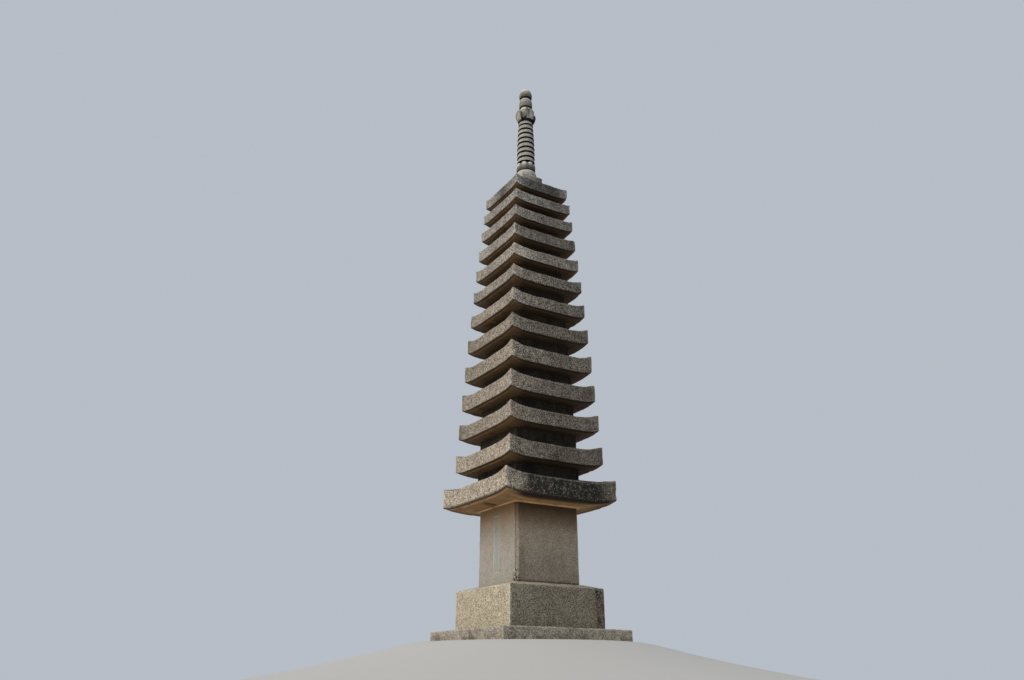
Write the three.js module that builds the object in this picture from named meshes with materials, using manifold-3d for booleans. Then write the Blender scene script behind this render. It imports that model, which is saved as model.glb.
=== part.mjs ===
import * as THREE from 'three';
import { mergeVertices } from 'three/addons/utils/BufferGeometryUtils.js';
import Module from 'manifold-3d';

// Thirteen-storey granite pagoda. Millimetres, +Z up, origin at the centre of the base's underside.
// The wide face in front looks along -Y, and the face with the bare strip looks along -X.

// Driving dimensions

const ROOF_COUNT = 13;
const FIRST_ROOF_WIDTH = 2500;
const SECOND_ROOF_WIDTH = 2164;
const TOP_ROOF_WIDTH = 1358;

// Height of the first roof's corners, then the storey height at the foot and what it loses at the top.
const FIRST_ROOF_CORNER_Z = 2985;
const LOWEST_STOREY_HEIGHT = 677;
const STOREY_HEIGHT_LOSS = 268;
const STOREY_LOSS_POWER = 1.36;

// Thickness of each eave at its corners, from the lowest roof up: hand-cut stones, so they vary.
const EAVE_THICKNESS = [400, 350, 325, 350, 345, 300, 285, 265, 265, 260, 235, 220, 230];

// The middle of an eave hangs below its corners by these sags. The curve stays close to the corners.
const EAVE_CURVE_POWER = 5;
const FIRST_TOP_SAG = 106;
const LAST_TOP_SAG = 28;
const TOP_SAG_POWER = 1.5;
const FIRST_BOTTOM_SAG = 66;
const LAST_BOTTOM_SAG = 46;

// Underside of a roof: a shelf behind the eave, then one low step down.
const SHELF_SHARE = 0.064;
const SOFFIT_STEP = 25;
const FIRST_ROOF_SEAT_STEP = 28;
const FIRST_ROOF_SEAT_MARGIN = 24;

// Upper side of a roof: a hollow slope from the eave up to the seat of the next block.
const SLOPE_RISE = 0.3;
const SLOPE_MIDDLE_RISE = 0.4;
const SLOPE_MIDDLE_LIFT = 0.35;
const STOREY_BLOCK_SHARE = 0.68;
const SEAT_MARGIN = 12;
const SEGMENTS_A_SIDE = 8;
const CORNER_CROWDING = 0.7;

const STEP_WIDTH = 2750;
const STEP_HEIGHT = 225;
const KERB_WIDTH = 380;

const PLINTH_WIDTH = 2052;
const PLINTH_ARRIS_Z = 958;
const PLINTH_TOP_Z = 1030;
const PLINTH_SEAT_MARGIN = 20;

const BODY_FOOT_WIDTH = 1446;
const BODY_TOP_WIDTH = 1430;
const BODY_CHAMFER = 62;
const STRIP_WIDTH = 210;
const STRIP_TOP_SHARE = 0.11;
const STRIP_BOTTOM_SHARE = 0.86;
const STRIP_DEPTH = 6;

// The top roof's seat and the dew basin on it
const TOP_ROOF_SEAT_WIDTH = 580;
const TOP_ROOF_RISE = 0.38;
const BASIN_WIDTH = 544;
const BASIN_TOP_Z = 10133;
const BASIN_TAPER = 8;
const BASIN_BEVEL = 16;

const BOWL_TOP_Z = 10307;
const BOWL_FOOT_RADIUS = 246;
const BOWL_TOP_RADIUS = 203;

// The lotus petals grow deeper towards their tips, by a share of the radius.
const LOTUS_TOP_Z = 10530;
const LOTUS_FOOT_RADIUS = 206;
const LOTUS_BELLY_RADIUS = 219;
const LOTUS_RIM_RADIUS = 214;
const LOTUS_BELLY_FOOT_SHARE = 0.3;
const LOTUS_BELLY_TOP_SHARE = 0.65;
const PETAL_COUNT = 8;
const PETAL_DEPTH = 0.055;

// The rings shrink from the lowest radius to the top one by their share of the way up, to a power:
// little at first, and fast near the knob.
const SHAFT_TOP_Z = 11709;
const RING_COUNT = 9;
const LOWEST_GROOVE_Z = 10553;
const RING_PITCH = 132;
const RING_GROOVE_HEIGHT = 34;
const RING_GROOVE_DEPTH = 32;
const RING_LEAN = 15;
const LOWEST_RING_RADIUS = 209;
const TOP_RING_RADIUS = 175;
const RING_TAPER_POWER = 2.6;

// Each [share of the height, radius] is a point of a fin's outline, which ends on the knob's neck.
// Between the fins the core shows. It widens upwards to the neck. A fin turns into the core where
// 0.5 - 0.5 cos(4 x angle) lies between its two side values. Over the shoulder, between two shares
// of the height, these fall from the first pair to the second, so that each fin ends in an arch.
const KNOB_TOP_Z = 12139;
const KNOB_TOP_RADIUS = 132;
const KNOB_CORE_FOOT_RADIUS = 126;
const KNOB_NECK_RADIUS = 150;
const FIN_COUNT = 4;
const FIN_OUTLINE = [
  [0, 162],
  [0.12, 203],
  [0.25, 230],
  [0.4, 243],
  [0.6, 240],
  [0.66, 234],
  [0.72, 228],
  [0.77, 222],
  [0.8, 146],
];
const FIN_SIDES = [0.5, 0.84];
const FIN_TOP_SIDES = [0, 0.25];
const FIN_SHOULDER = [0.58, 0.8];

const DRUM_TOP_Z = 12406;
const DRUM_FOOT_RADIUS = 140;
const DRUM_BELLY_RADIUS = 157;
const DRUM_TOP_RADIUS = 126;
const DRUM_BELLY_FOOT_SHARE = 0.16;
const DRUM_BELLY_TOP_SHARE = 0.62;
const DRUM_SHOULDER_SHARE = 0.88;

const JEWEL_TOP_Z = 12730;
const JEWEL_FOOT_RADIUS = 118;
const JEWEL_BELLY_RADIUS = 156;
const JEWEL_BELLY_SHARE = 0.3;
const JEWEL_UNDERCUT_SHARE = 0.1;
const JEWEL_UNDERCUT_RADIUS = 145;

// How finely the turned stones are cut into facets
const ROUND_SEGMENTS = 24;
const PETAL_SEGMENTS = 6;
const KNOB_SEGMENTS = 32;
const BOWL_STEPS = 5;
const JEWEL_STEPS = 6;

// Materials

function granite(name, colour, roughness) {
  const material = new THREE.MeshStandardMaterial({ color: colour, roughness, metalness: 0 });
  material.name = name;
  return material;
}

const roofStone = granite('roof_stone', 0x9c8f7e, 0.9);
const blockStone = granite('storey_block_stone', 0x6f655a, 0.93);
const bodyStone = granite('body_stone', 0xa3968a, 0.86);
const plinthStone = granite('plinth_stone', 0xb9ab90, 0.88);
const stepStone = granite('step_stone', 0xa79c8c, 0.92);
const finialStone = granite('finial_stone', 0x8f8b7c, 0.9);

// Helpers

const pagoda = new THREE.Group();

function addStone(name, geometry, material, z) {
  const stone = new THREE.Mesh(geometry, material);
  stone.name = name;
  stone.position.z = z;
  pagoda.add(stone);
  return stone;
}

function lathed(profile, segments) {
  const points = profile.map(([radius, height]) => new THREE.Vector2(radius, height));
  return new THREE.LatheGeometry(points, segments).rotateX(Math.PI / 2);
}

// A stone that is square in plan. The profile is turned first, with radius standing for half-width,
// and each ring is then pushed out from a circle to a square. The third number of a profile point
// is how far the ring rises at its corners, along share ** EAVE_CURVE_POWER.
function squareStone(profile, segmentsASide) {
  const geometry = lathed(profile, 4 * segmentsASide);
  const position = geometry.attributes.position;
  const ringPoints = profile.length;
  for (let i = 0; i < position.count; i += 1) {
    const [halfWidth, height, lift = 0] = profile[i % ringPoints];
    const step = Math.floor(i / ringPoints) % (4 * segmentsASide);
    const side = Math.floor(step / segmentsASide);
    const along = (2 * (step % segmentsASide)) / segmentsASide - 1;
    const share = Math.sign(along) * Math.abs(along) ** CORNER_CROWDING;
    const corner = new THREE.Vector2(halfWidth, halfWidth * share);
    corner.rotateAround(new THREE.Vector2(0, 0), (side * Math.PI) / 2);
    const rise = lift * Math.abs(share) ** EAVE_CURVE_POWER;
    position.setXYZ(i, corner.x, corner.y, height + rise);
  }
  geometry.computeVertexNormals();
  return geometry;
}

// Roof sizes, roof 1 being the lowest

function roofHalfWidth(roof) {
  if (roof === 1) return FIRST_ROOF_WIDTH / 2;
  const share = (roof - 2) / (ROOF_COUNT - 2);
  return Math.round(THREE.MathUtils.lerp(SECOND_ROOF_WIDTH, TOP_ROOF_WIDTH, share) / 2);
}

function cornerHeight(roof) {
  let height = FIRST_ROOF_CORNER_Z;
  for (let storey = 0; storey < roof - 1; storey += 1) {
    const share = storey / (ROOF_COUNT - 2);
    height += LOWEST_STOREY_HEIGHT - STOREY_HEIGHT_LOSS * share ** STOREY_LOSS_POWER;
  }
  return Math.round(height);
}

function roofSizes(roof) {
  const share = (roof - 1) / (ROOF_COUNT - 1);
  const half = roofHalfWidth(roof);
  const thickness = EAVE_THICKNESS[roof - 1];
  const topSag = Math.round(THREE.MathUtils.lerp(FIRST_TOP_SAG, LAST_TOP_SAG, share ** TOP_SAG_POWER));
  const bottomSag = Math.round(THREE.MathUtils.lerp(FIRST_BOTTOM_SAG, LAST_BOTTOM_SAG, share));
  const seatStep = roof === 1 ? FIRST_ROOF_SEAT_STEP : 0;
  const eaveBottom = SOFFIT_STEP + seatStep;
  const bottomZ = cornerHeight(roof) - thickness - bottomSag - eaveBottom;
  const isTop = roof === ROOF_COUNT;
  const blockHalf = isTop
    ? TOP_ROOF_SEAT_WIDTH / 2
    : Math.round(STOREY_BLOCK_SHARE * roofHalfWidth(roof + 1));
  const eaveTop = eaveBottom + thickness + bottomSag - topSag;
  const seatHalf = blockHalf + SEAT_MARGIN;
  const rise = Math.round((isTop ? TOP_ROOF_RISE : SLOPE_RISE) * (half - seatHalf));
  return { half, topSag, bottomSag, seatStep, eaveBottom, bottomZ, eaveTop, seatHalf, rise };
}

function roofGeometry(roof) {
  const { half, topSag, bottomSag, seatStep, eaveBottom, eaveTop, seatHalf, rise } = roofSizes(roof);
  const shelfHalf = half - Math.round(SHELF_SHARE * half);
  const lowerSeatHalf = roof === 1
    ? BODY_TOP_WIDTH / 2 + FIRST_ROOF_SEAT_MARGIN
    : Math.round(STOREY_BLOCK_SHARE * half) + SEAT_MARGIN;
  const profile = [
    [0, 0],
    [lowerSeatHalf, 0],
    [shelfHalf, seatStep, bottomSag],
    [shelfHalf, eaveBottom, bottomSag],
    [half, eaveBottom, bottomSag],
    [half, eaveTop, topSag],
    [(half + seatHalf) / 2, eaveTop + SLOPE_MIDDLE_RISE * rise, SLOPE_MIDDLE_LIFT * topSag],
    [seatHalf, eaveTop + rise],
    [0, eaveTop + rise],
  ];
  if (seatStep > 0) profile.splice(2, 0, [lowerSeatHalf, seatStep]);
  return squareStone(profile, SEGMENTS_A_SIDE);
}

function roofTopZ(roof) {
  const { bottomZ, eaveTop, rise } = roofSizes(roof);
  return bottomZ + eaveTop + rise;
}

// Base step: four kerb stones chase each other around a core stone

const kerbLength = STEP_WIDTH - KERB_WIDTH;
const coreWidth = STEP_WIDTH - 2 * KERB_WIDTH;
const kerbNames = ['base_step_front', 'base_step_right', 'base_step_back', 'base_step_left'];

kerbNames.forEach((name, turn) => {
  const geometry = new THREE.BoxGeometry(kerbLength, KERB_WIDTH, STEP_HEIGHT);
  geometry.translate(-KERB_WIDTH / 2, (KERB_WIDTH - STEP_WIDTH) / 2, 0);
  const quarter = new THREE.Matrix4().set(0, -1, 0, 0, 1, 0, 0, 0, 0, 0, 1, 0, 0, 0, 0, 1);
  for (let i = 0; i < turn; i += 1) geometry.applyMatrix4(quarter);
  addStone(name, geometry, stepStone, STEP_HEIGHT / 2);
});

const coreGeometry = new THREE.BoxGeometry(coreWidth, coreWidth, STEP_HEIGHT);
addStone('base_step_core', coreGeometry, stepStone, STEP_HEIGHT / 2);

// Plinth block, its top sloped so that rain runs off

const plinthProfile = [
  [0, 0],
  [PLINTH_WIDTH / 2, 0],
  [PLINTH_WIDTH / 2, PLINTH_ARRIS_Z - STEP_HEIGHT],
  [BODY_FOOT_WIDTH / 2 + PLINTH_SEAT_MARGIN, PLINTH_TOP_Z - STEP_HEIGHT],
  [0, PLINTH_TOP_Z - STEP_HEIGHT],
];
addStone('plinth_block', squareStone(plinthProfile, 1), plinthStone, STEP_HEIGHT);

// Body block: it tapers a little upwards, with chamfered corners and a shallow strip sunk in its -X face

const wasm = await Module();
wasm.setup();

function toSolid(geometry) {
  const bare = geometry.clone();
  bare.deleteAttribute('normal');
  bare.deleteAttribute('uv');
  const merged = mergeVertices(bare);
  const vertProperties = new Float32Array(merged.attributes.position.array);
  const triVerts = new Uint32Array(merged.index.array);
  return new wasm.Manifold(new wasm.Mesh({ numProp: 3, vertProperties, triVerts }));
}

function toGeometry(solid) {
  const mesh = solid.getMesh();
  const geometry = new THREE.BufferGeometry();
  geometry.setAttribute('position', new THREE.BufferAttribute(new Float32Array(mesh.vertProperties), 3));
  geometry.setIndex(new THREE.BufferAttribute(new Uint32Array(mesh.triVerts), 1));
  geometry.computeVertexNormals();
  return geometry;
}

function chamferedSquare(width, chamfer) {
  const half = width / 2;
  const inner = half - chamfer;
  const outline = new THREE.Shape();
  outline.moveTo(inner, -half);
  outline.lineTo(half, -inner);
  outline.lineTo(half, inner);
  outline.lineTo(inner, half);
  outline.lineTo(-inner, half);
  outline.lineTo(-half, inner);
  outline.lineTo(-half, -inner);
  outline.lineTo(-inner, -half);
  outline.closePath();
  return outline;
}

const bodyHeight = roofSizes(1).bottomZ - PLINTH_TOP_Z;
const bodyPrism = new THREE.ExtrudeGeometry(chamferedSquare(BODY_FOOT_WIDTH, BODY_CHAMFER), {
  depth: bodyHeight,
  bevelEnabled: false,
});
const bodyPosition = bodyPrism.attributes.position;
for (let i = 0; i < bodyPosition.count; i += 1) {
  const upShare = bodyPosition.getZ(i) / bodyHeight;
  const taper = THREE.MathUtils.lerp(1, BODY_TOP_WIDTH / BODY_FOOT_WIDTH, upShare);
  bodyPosition.setX(i, taper * bodyPosition.getX(i));
  bodyPosition.setY(i, taper * bodyPosition.getY(i));
}
const stripHeight = Math.round((STRIP_BOTTOM_SHARE - STRIP_TOP_SHARE) * bodyHeight);
const stripMiddle = Math.round((1 - (STRIP_BOTTOM_SHARE + STRIP_TOP_SHARE) / 2) * bodyHeight);
const stripCutter = new THREE.BoxGeometry(2 * STRIP_DEPTH, STRIP_WIDTH, stripHeight);
stripCutter.translate(-(BODY_FOOT_WIDTH + BODY_TOP_WIDTH) / 4, 0, stripMiddle);
const bodyGeometry = toGeometry(toSolid(bodyPrism).subtract(toSolid(stripCutter)));
addStone('body_block', bodyGeometry, bodyStone, PLINTH_TOP_Z);

// Roof stones, and the storey block that carries each roof but the first

for (let roof = 1; roof <= ROOF_COUNT; roof += 1) {
  const label = String(roof).padStart(2, '0');
  const { half, bottomZ } = roofSizes(roof);
  addStone(`roof_${label}`, roofGeometry(roof), roofStone, bottomZ);
  if (roof > 1) {
    const width = 2 * Math.round(STOREY_BLOCK_SHARE * half);
    const foot = roofTopZ(roof - 1);
    const block = new THREE.BoxGeometry(width, width, bottomZ - foot);
    block.translate(0, 0, (bottomZ - foot) / 2);
    addStone(`storey_block_${label}`, block, blockStone, foot);
  }
}

// Dew basin: the square block that the finial stands on

const basinFoot = roofTopZ(ROOF_COUNT);
const basinHeight = BASIN_TOP_Z - basinFoot;
const basinHalf = BASIN_WIDTH / 2;
const basinProfile = [
  [0, 0],
  [basinHalf - BASIN_TAPER, 0],
  [basinHalf, basinHeight - BASIN_BEVEL],
  [basinHalf - BASIN_BEVEL, basinHeight],
  [0, basinHeight],
];
addStone('dew_basin', squareStone(basinProfile, 1), finialStone, basinFoot);

// Inverted bowl: a low dome, as a quarter of an ellipse from its foot to the lotus

const bowlHeight = BOWL_TOP_Z - BASIN_TOP_Z;
const bowlProfile = [[0, 0], [BOWL_FOOT_RADIUS, 0]];
for (let i = 1; i <= BOWL_STEPS; i += 1) {
  const turn = (i / BOWL_STEPS) * (Math.PI / 2);
  const radius = THREE.MathUtils.lerp(BOWL_TOP_RADIUS, BOWL_FOOT_RADIUS, Math.cos(turn));
  bowlProfile.push([radius, bowlHeight * Math.sin(turn)]);
}
bowlProfile.push([0, bowlHeight]);
addStone('inverted_bowl', lathed(bowlProfile, ROUND_SEGMENTS), finialStone, BASIN_TOP_Z);

// Lotus collar: a cup of upright petals, their tips leaning out

const lotusHeight = LOTUS_TOP_Z - BOWL_TOP_Z;
const lotusProfile = [
  [0, 0],
  [LOTUS_FOOT_RADIUS, 0],
  [LOTUS_BELLY_RADIUS, LOTUS_BELLY_FOOT_SHARE * lotusHeight],
  [LOTUS_BELLY_RADIUS, LOTUS_BELLY_TOP_SHARE * lotusHeight],
  [LOTUS_RIM_RADIUS, lotusHeight],
  [0, lotusHeight],
];
const lotus = lathed(lotusProfile, PETAL_COUNT * PETAL_SEGMENTS);
const lotusPosition = lotus.attributes.position;
for (let i = 0; i < lotusPosition.count; i += 1) {
  const x = lotusPosition.getX(i);
  const y = lotusPosition.getY(i);
  const aroundPetal = PETAL_COUNT * (Math.atan2(y, x) + Math.PI / PETAL_COUNT);
  const upShare = lotusPosition.getZ(i) / lotusHeight;
  const hollow = PETAL_DEPTH * upShare * (0.5 - 0.5 * Math.cos(aroundPetal + Math.PI));
  lotusPosition.setX(i, x * (1 - hollow));
  lotusPosition.setY(i, y * (1 - hollow));
}
lotus.computeVertexNormals();
addStone('lotus_collar', lotus, finialStone, BOWL_TOP_Z);

// Ring shaft: nine rings parted by square grooves, growing thinner upwards

const shaftProfile = [[0, 0]];
for (let ring = 0; ring < RING_COUNT; ring += 1) {
  const taper = (ring / (RING_COUNT - 1)) ** RING_TAPER_POWER;
  const radius = THREE.MathUtils.lerp(LOWEST_RING_RADIUS, TOP_RING_RADIUS, taper);
  const grooveMiddle = LOWEST_GROOVE_Z - LOTUS_TOP_Z + ring * RING_PITCH;
  const grooveFoot = ring === 0 ? 0 : grooveMiddle - RING_GROOVE_HEIGHT / 2;
  const ringFoot = grooveMiddle + RING_GROOVE_HEIGHT / 2;
  shaftProfile.push([radius - RING_GROOVE_DEPTH, grooveFoot]);
  shaftProfile.push([radius - RING_GROOVE_DEPTH, ringFoot]);
  shaftProfile.push([radius, ringFoot]);
  const isLast = ring === RING_COUNT - 1;
  const ringTop = isLast ? SHAFT_TOP_Z - LOTUS_TOP_Z : ringFoot + RING_PITCH - RING_GROOVE_HEIGHT;
  shaftProfile.push([radius - RING_LEAN, ringTop]);
}
shaftProfile.push([0, SHAFT_TOP_Z - LOTUS_TOP_Z]);
addStone('ring_shaft', lathed(shaftProfile, ROUND_SEGMENTS), finialStone, LOTUS_TOP_Z);

// Four-fin knob: a core with four broad upright fins, which face the four sides

const knobHeight = KNOB_TOP_Z - SHAFT_TOP_Z;
const knobProfile = [[0, 0]];
FIN_OUTLINE.forEach(([share, radius]) => knobProfile.push([radius, share * knobHeight]));
knobProfile.push([KNOB_TOP_RADIUS, knobHeight], [0, knobHeight]);
const knob = lathed(knobProfile, KNOB_SEGMENTS);
const knobPosition = knob.attributes.position;
for (let i = 0; i < knobPosition.count; i += 1) {
  const x = knobPosition.getX(i);
  const y = knobPosition.getY(i);
  const finRadius = Math.hypot(x, y);
  if (finRadius > 0) {
    const upShare = knobPosition.getZ(i) / knobHeight;
    const wall = THREE.MathUtils.lerp(KNOB_CORE_FOOT_RADIUS, KNOB_NECK_RADIUS, upShare);
    const betweenFins = 0.5 - 0.5 * Math.cos(FIN_COUNT * Math.atan2(y, x));
    const shoulder = THREE.MathUtils.smoothstep(upShare, FIN_SHOULDER[0], FIN_SHOULDER[1]);
    const sideStart = THREE.MathUtils.lerp(FIN_SIDES[0], FIN_TOP_SIDES[0], shoulder);
    const sideEnd = THREE.MathUtils.lerp(FIN_SIDES[1], FIN_TOP_SIDES[1], shoulder);
    const hollow = THREE.MathUtils.smoothstep(betweenFins, sideStart, sideEnd);
    const radius = THREE.MathUtils.lerp(finRadius, Math.min(finRadius, wall), hollow);
    knobPosition.setX(i, (x * radius) / finRadius);
    knobPosition.setY(i, (y * radius) / finRadius);
  }
}
knob.computeVertexNormals();
addStone('four_fin_knob', knob, finialStone, SHAFT_TOP_Z);

// Drum and jewel at the very top

const drumHeight = DRUM_TOP_Z - KNOB_TOP_Z;
const drumProfile = [
  [0, 0],
  [DRUM_FOOT_RADIUS, 0],
  [DRUM_BELLY_RADIUS, DRUM_BELLY_FOOT_SHARE * drumHeight],
  [DRUM_BELLY_RADIUS, DRUM_BELLY_TOP_SHARE * drumHeight],
  [(DRUM_BELLY_RADIUS + DRUM_TOP_RADIUS) / 2, DRUM_SHOULDER_SHARE * drumHeight],
  [DRUM_TOP_RADIUS, drumHeight],
  [0, drumHeight],
];
addStone('finial_drum', lathed(drumProfile, ROUND_SEGMENTS), finialStone, KNOB_TOP_Z);

const jewelHeight = JEWEL_TOP_Z - DRUM_TOP_Z;
const bellyHeight = JEWEL_BELLY_SHARE * jewelHeight;
const jewelProfile = [
  [0, 0],
  [JEWEL_FOOT_RADIUS, 0],
  [JEWEL_UNDERCUT_RADIUS, JEWEL_UNDERCUT_SHARE * jewelHeight],
];
for (let i = 0; i < JEWEL_STEPS; i += 1) {
  const turn = (i / JEWEL_STEPS) * (Math.PI / 2);
  jewelProfile.push([
    JEWEL_BELLY_RADIUS * Math.cos(turn),
    bellyHeight + (jewelHeight - bellyHeight) * Math.sin(turn),
  ]);
}
jewelProfile.push([0, jewelHeight]);
addStone('finial_jewel', lathed(jewelProfile, ROUND_SEGMENTS), finialStone, DRUM_TOP_Z);

export default pagoda;
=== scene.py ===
import math
import bpy
import numpy as np
from mathutils import Matrix, Vector


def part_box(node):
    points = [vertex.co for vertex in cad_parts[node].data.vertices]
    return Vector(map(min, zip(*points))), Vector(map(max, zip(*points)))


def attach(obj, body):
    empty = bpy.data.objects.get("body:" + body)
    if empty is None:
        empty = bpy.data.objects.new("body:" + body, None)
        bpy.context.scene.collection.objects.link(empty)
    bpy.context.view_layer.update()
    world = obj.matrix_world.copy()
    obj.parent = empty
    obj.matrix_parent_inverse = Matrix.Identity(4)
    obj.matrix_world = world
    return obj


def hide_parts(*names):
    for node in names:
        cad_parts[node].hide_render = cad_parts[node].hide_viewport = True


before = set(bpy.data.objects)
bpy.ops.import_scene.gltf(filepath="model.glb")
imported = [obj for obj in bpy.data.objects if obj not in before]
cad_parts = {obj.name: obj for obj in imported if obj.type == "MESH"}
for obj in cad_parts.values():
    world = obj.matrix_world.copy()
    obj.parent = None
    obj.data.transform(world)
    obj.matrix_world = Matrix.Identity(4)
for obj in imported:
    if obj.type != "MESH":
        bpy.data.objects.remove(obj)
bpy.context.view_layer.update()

# Base step
# Four granite kerbs chase each other round a flat core slab, split at the quarry and dressed with a
# point. They lie side by side on the ground, with worn arrises and damp, earth-stained lower edges.

STEP_ROUNDING = 0.016
STEP_PITCH = 0.03
STEP_SKIN = ((0.34, 0.004), (0.11, 0.003), (0.045, 0.0016))
STEP_CHIP = 0.016
STEP_BED = 0.03
STEP_DAMP_HEIGHT = 0.14
STEP_TONES = (0.94, 1.05, 0.99, 0.9, 1.0)
CHIP_REACH, WEAR_REACH = 0.035, 0.02
DRY_ROUGHNESS, DAMP_ROUGHNESS, CRYSTAL_ROUGHNESS = 0.93, 0.8, 0.08
NO_FANS = np.empty((0, 3), int)


def value_noise(points, size, seed):
    """Smooth noise from -1 to 1. Each corner of a cubic lattice of that size holds a hashed number,
    and a point mixes the eight corners round it by the eased share of its place between them."""
    cell = points / size
    corner = np.floor(cell)
    ease = cell - corner
    ease = ease * ease * (3 - 2 * ease)
    corner = corner.astype(np.int64) + 100003 * seed
    total = np.zeros(len(points))
    for step in np.ndindex(2, 2, 2):
        at = corner + step
        key = (at[:, 0] * 73856093 ^ at[:, 1] * 19349663 ^ at[:, 2] * 83492791) & 0xFFFFFFFF
        key = ((key ^ (key >> 15)) * 668265263) & 0xFFFFFFFF
        key = ((key ^ (key >> 13)) * 374761393) & 0xFFFFFFFF
        number = (key ^ (key >> 16)) / 2147483648 - 1
        total += number * np.prod(np.where(step, ease, 1 - ease), axis=1)
    return total


def bell(value, middle, width):
    """1 where value is middle, and exp(-((value - middle) / width)^2) to both sides of it."""
    return np.exp(-(((value - middle) / width) ** 2))


def bounded(value):
    """The value itself between 0 and 1, and the nearer of the two where it is beyond them."""
    return np.clip(value, 0, 1)


def ramp(value, low, high):
    """0 up to low, 1 from high on, and even in between. It falls where low is the larger one."""
    return bounded((value - low) / (high - low))


def hewn(points, normals, arris_gap, free, seed, skin, chip, bites=()):
    """Roughens a cut stone. Each (size, depth) of skin adds that depth of noise along the normal.
    Near an arris, noise over a third knocks chips out, up to about chip deep. A bite (centre, radius,
    depth) sinks the surface by depth times a bell curve of the distance. All of it is times free,
    which is 1 on open faces and 0 where the stone lies on another."""
    depth = sum(high * value_noise(points, size, seed + n) for n, (size, high) in enumerate(skin))
    knock = bounded(value_noise(points, 0.13, seed + 7) - 0.3)
    knock += 0.6 * bounded(value_noise(points, 0.05, seed + 8) - 0.35)
    depth -= chip * bell(arris_gap, 0, CHIP_REACH) * knock
    for centre, radius, sink in bites:
        away = np.linalg.norm(points - centre, axis=1)
        depth -= sink * bell(away, 0, radius) * (1 + 0.4 * value_noise(points, 0.03, seed + 9))
    return points + normals * (depth * free)[:, None]


def stone_object(name, points, quads, fans, layers, material):
    """Puts corners, four-sided and three-sided faces and the point attributes in layers into a mesh."""
    mesh = bpy.data.meshes.new(name)
    mesh.vertices.add(len(points))
    mesh.vertices.foreach_set("co", points.astype(np.float32).ravel())
    corners = np.concatenate([quads.ravel(), fans.ravel()])
    mesh.loops.add(len(corners))
    mesh.loops.foreach_set("vertex_index", corners.astype(np.int32))
    sizes = np.repeat([4, 3], [len(quads), len(fans)])
    mesh.polygons.add(len(sizes))
    mesh.polygons.foreach_set("loop_start", (np.cumsum(sizes) - sizes).astype(np.int32))
    mesh.update(calc_edges=True)
    mesh.shade_smooth()
    for label, values in layers.items():
        layer = mesh.attributes.new(label, "FLOAT", "POINT")
        layer.data.foreach_set("value", np.broadcast_to(values, len(points)).astype(np.float32))
    mesh.materials.append(material)
    piece = bpy.data.objects.new(name, mesh)
    bpy.context.collection.objects.link(piece)
    return piece


def box_lattice(low, high, pitch, rounding):
    """Skin of a box as a lattice with closer lines near its arrises, at the tangents of 15, 30 and 45
    degrees. Every lattice point p moves to q + rounding * (p - q) / |p - q|, where q is the nearest
    point of a box that is rounding smaller. Returns points, normals, distance to the nearest arris,
    and quads that face out."""
    low, high = np.array(low, float), np.array(high, float)
    bend = rounding * np.tan(np.radians([15, 30, 45]))
    lines = []
    for start, end in zip(low, high):
        inner = np.linspace(start + rounding, end - rounding, 2 + int((end - start) / pitch))
        lines.append(np.concatenate([start + rounding - bend[::-1], inner, end - rounding + bend]))
    count = [len(line) for line in lines]
    spot = np.indices(count)
    skin = np.any([(spot[a] == 0) | (spot[a] == count[a] - 1) for a in range(3)], axis=0)
    order = np.full(count, -1)
    order[skin] = np.arange(skin.sum())
    points = np.stack([lines[a][spot[a][skin]] for a in range(3)], axis=1)
    core = np.clip(points, low + rounding, high - rounding)
    normals = (points - core) / np.linalg.norm(points - core, axis=1)[:, None]
    to_faces = np.sort(np.minimum(points - low, high - points), axis=1)
    quads = []
    for axis in range(3):
        for end in (0, -1):
            sheet = np.take(order, end, axis=axis)
            around = [sheet[:-1, :-1], sheet[1:, :-1], sheet[1:, 1:], sheet[:-1, 1:]]
            flipped = (axis == 1) != (end == 0)
            quads.append(np.stack(around[::-1] if flipped else around, axis=-1).reshape(-1, 4))
    return core + rounding * normals, normals, to_faces[:, 1], np.concatenate(quads)


def feed(tree, node, feeds):
    """Gives each of these input sockets of a node a value, or links another node's output to it."""
    for socket, value in feeds.items():
        if isinstance(value, bpy.types.NodeSocket):
            tree.links.new(value, node.inputs[socket])
        else:
            node.inputs[socket].default_value = value


def put(tree, kind, feeds=(), **traits):
    """Adds a node with these traits and feeds its input sockets."""
    made = tree.nodes.new(kind)
    for trait, value in traits.items():
        setattr(made, trait, value)
    feed(tree, made, dict(feeds))
    return made


def math_of(tree, operation, *terms):
    """The output of a node that adds, multiplies or otherwise joins these terms."""
    return put(tree, "ShaderNodeMath", enumerate(terms), operation=operation).outputs[0]


def blend_of(tree, share, first, second):
    """The output of a node that goes from the first colour to the second as share grows to 1."""
    return put(tree, "ShaderNodeMix", {0: share, 6: first, 7: second}, data_type="RGBA").outputs[2]


def range_of(tree, value, low, high, first=0.0, last=1.0):
    """The output of a node that goes smoothly from first to last while value goes from low to high."""
    feeds = {0: value, 1: low, 2: high, 3: first, 4: last}
    return put(tree, "ShaderNodeMapRange", feeds, interpolation_type="SMOOTHSTEP").outputs[0]


def noise_of(tree, coordinates, scale, detail, roughness):
    """The output of a noise node in space, from 0 to 1 and mostly near a half."""
    feeds = {"Vector": coordinates, "Scale": scale, "Detail": detail, "Roughness": roughness}
    return put(tree, "ShaderNodeTexNoise", feeds, noise_dimensions="3D").outputs["Fac"]


def stretched(tree, coordinates, shrink):
    """The coordinates times shrink: an axis with a small number gets a pattern drawn out along it."""
    feeds = {0: coordinates, 1: shrink}
    return put(tree, "ShaderNodeVectorMath", feeds, operation="MULTIPLY").outputs[0]


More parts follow.
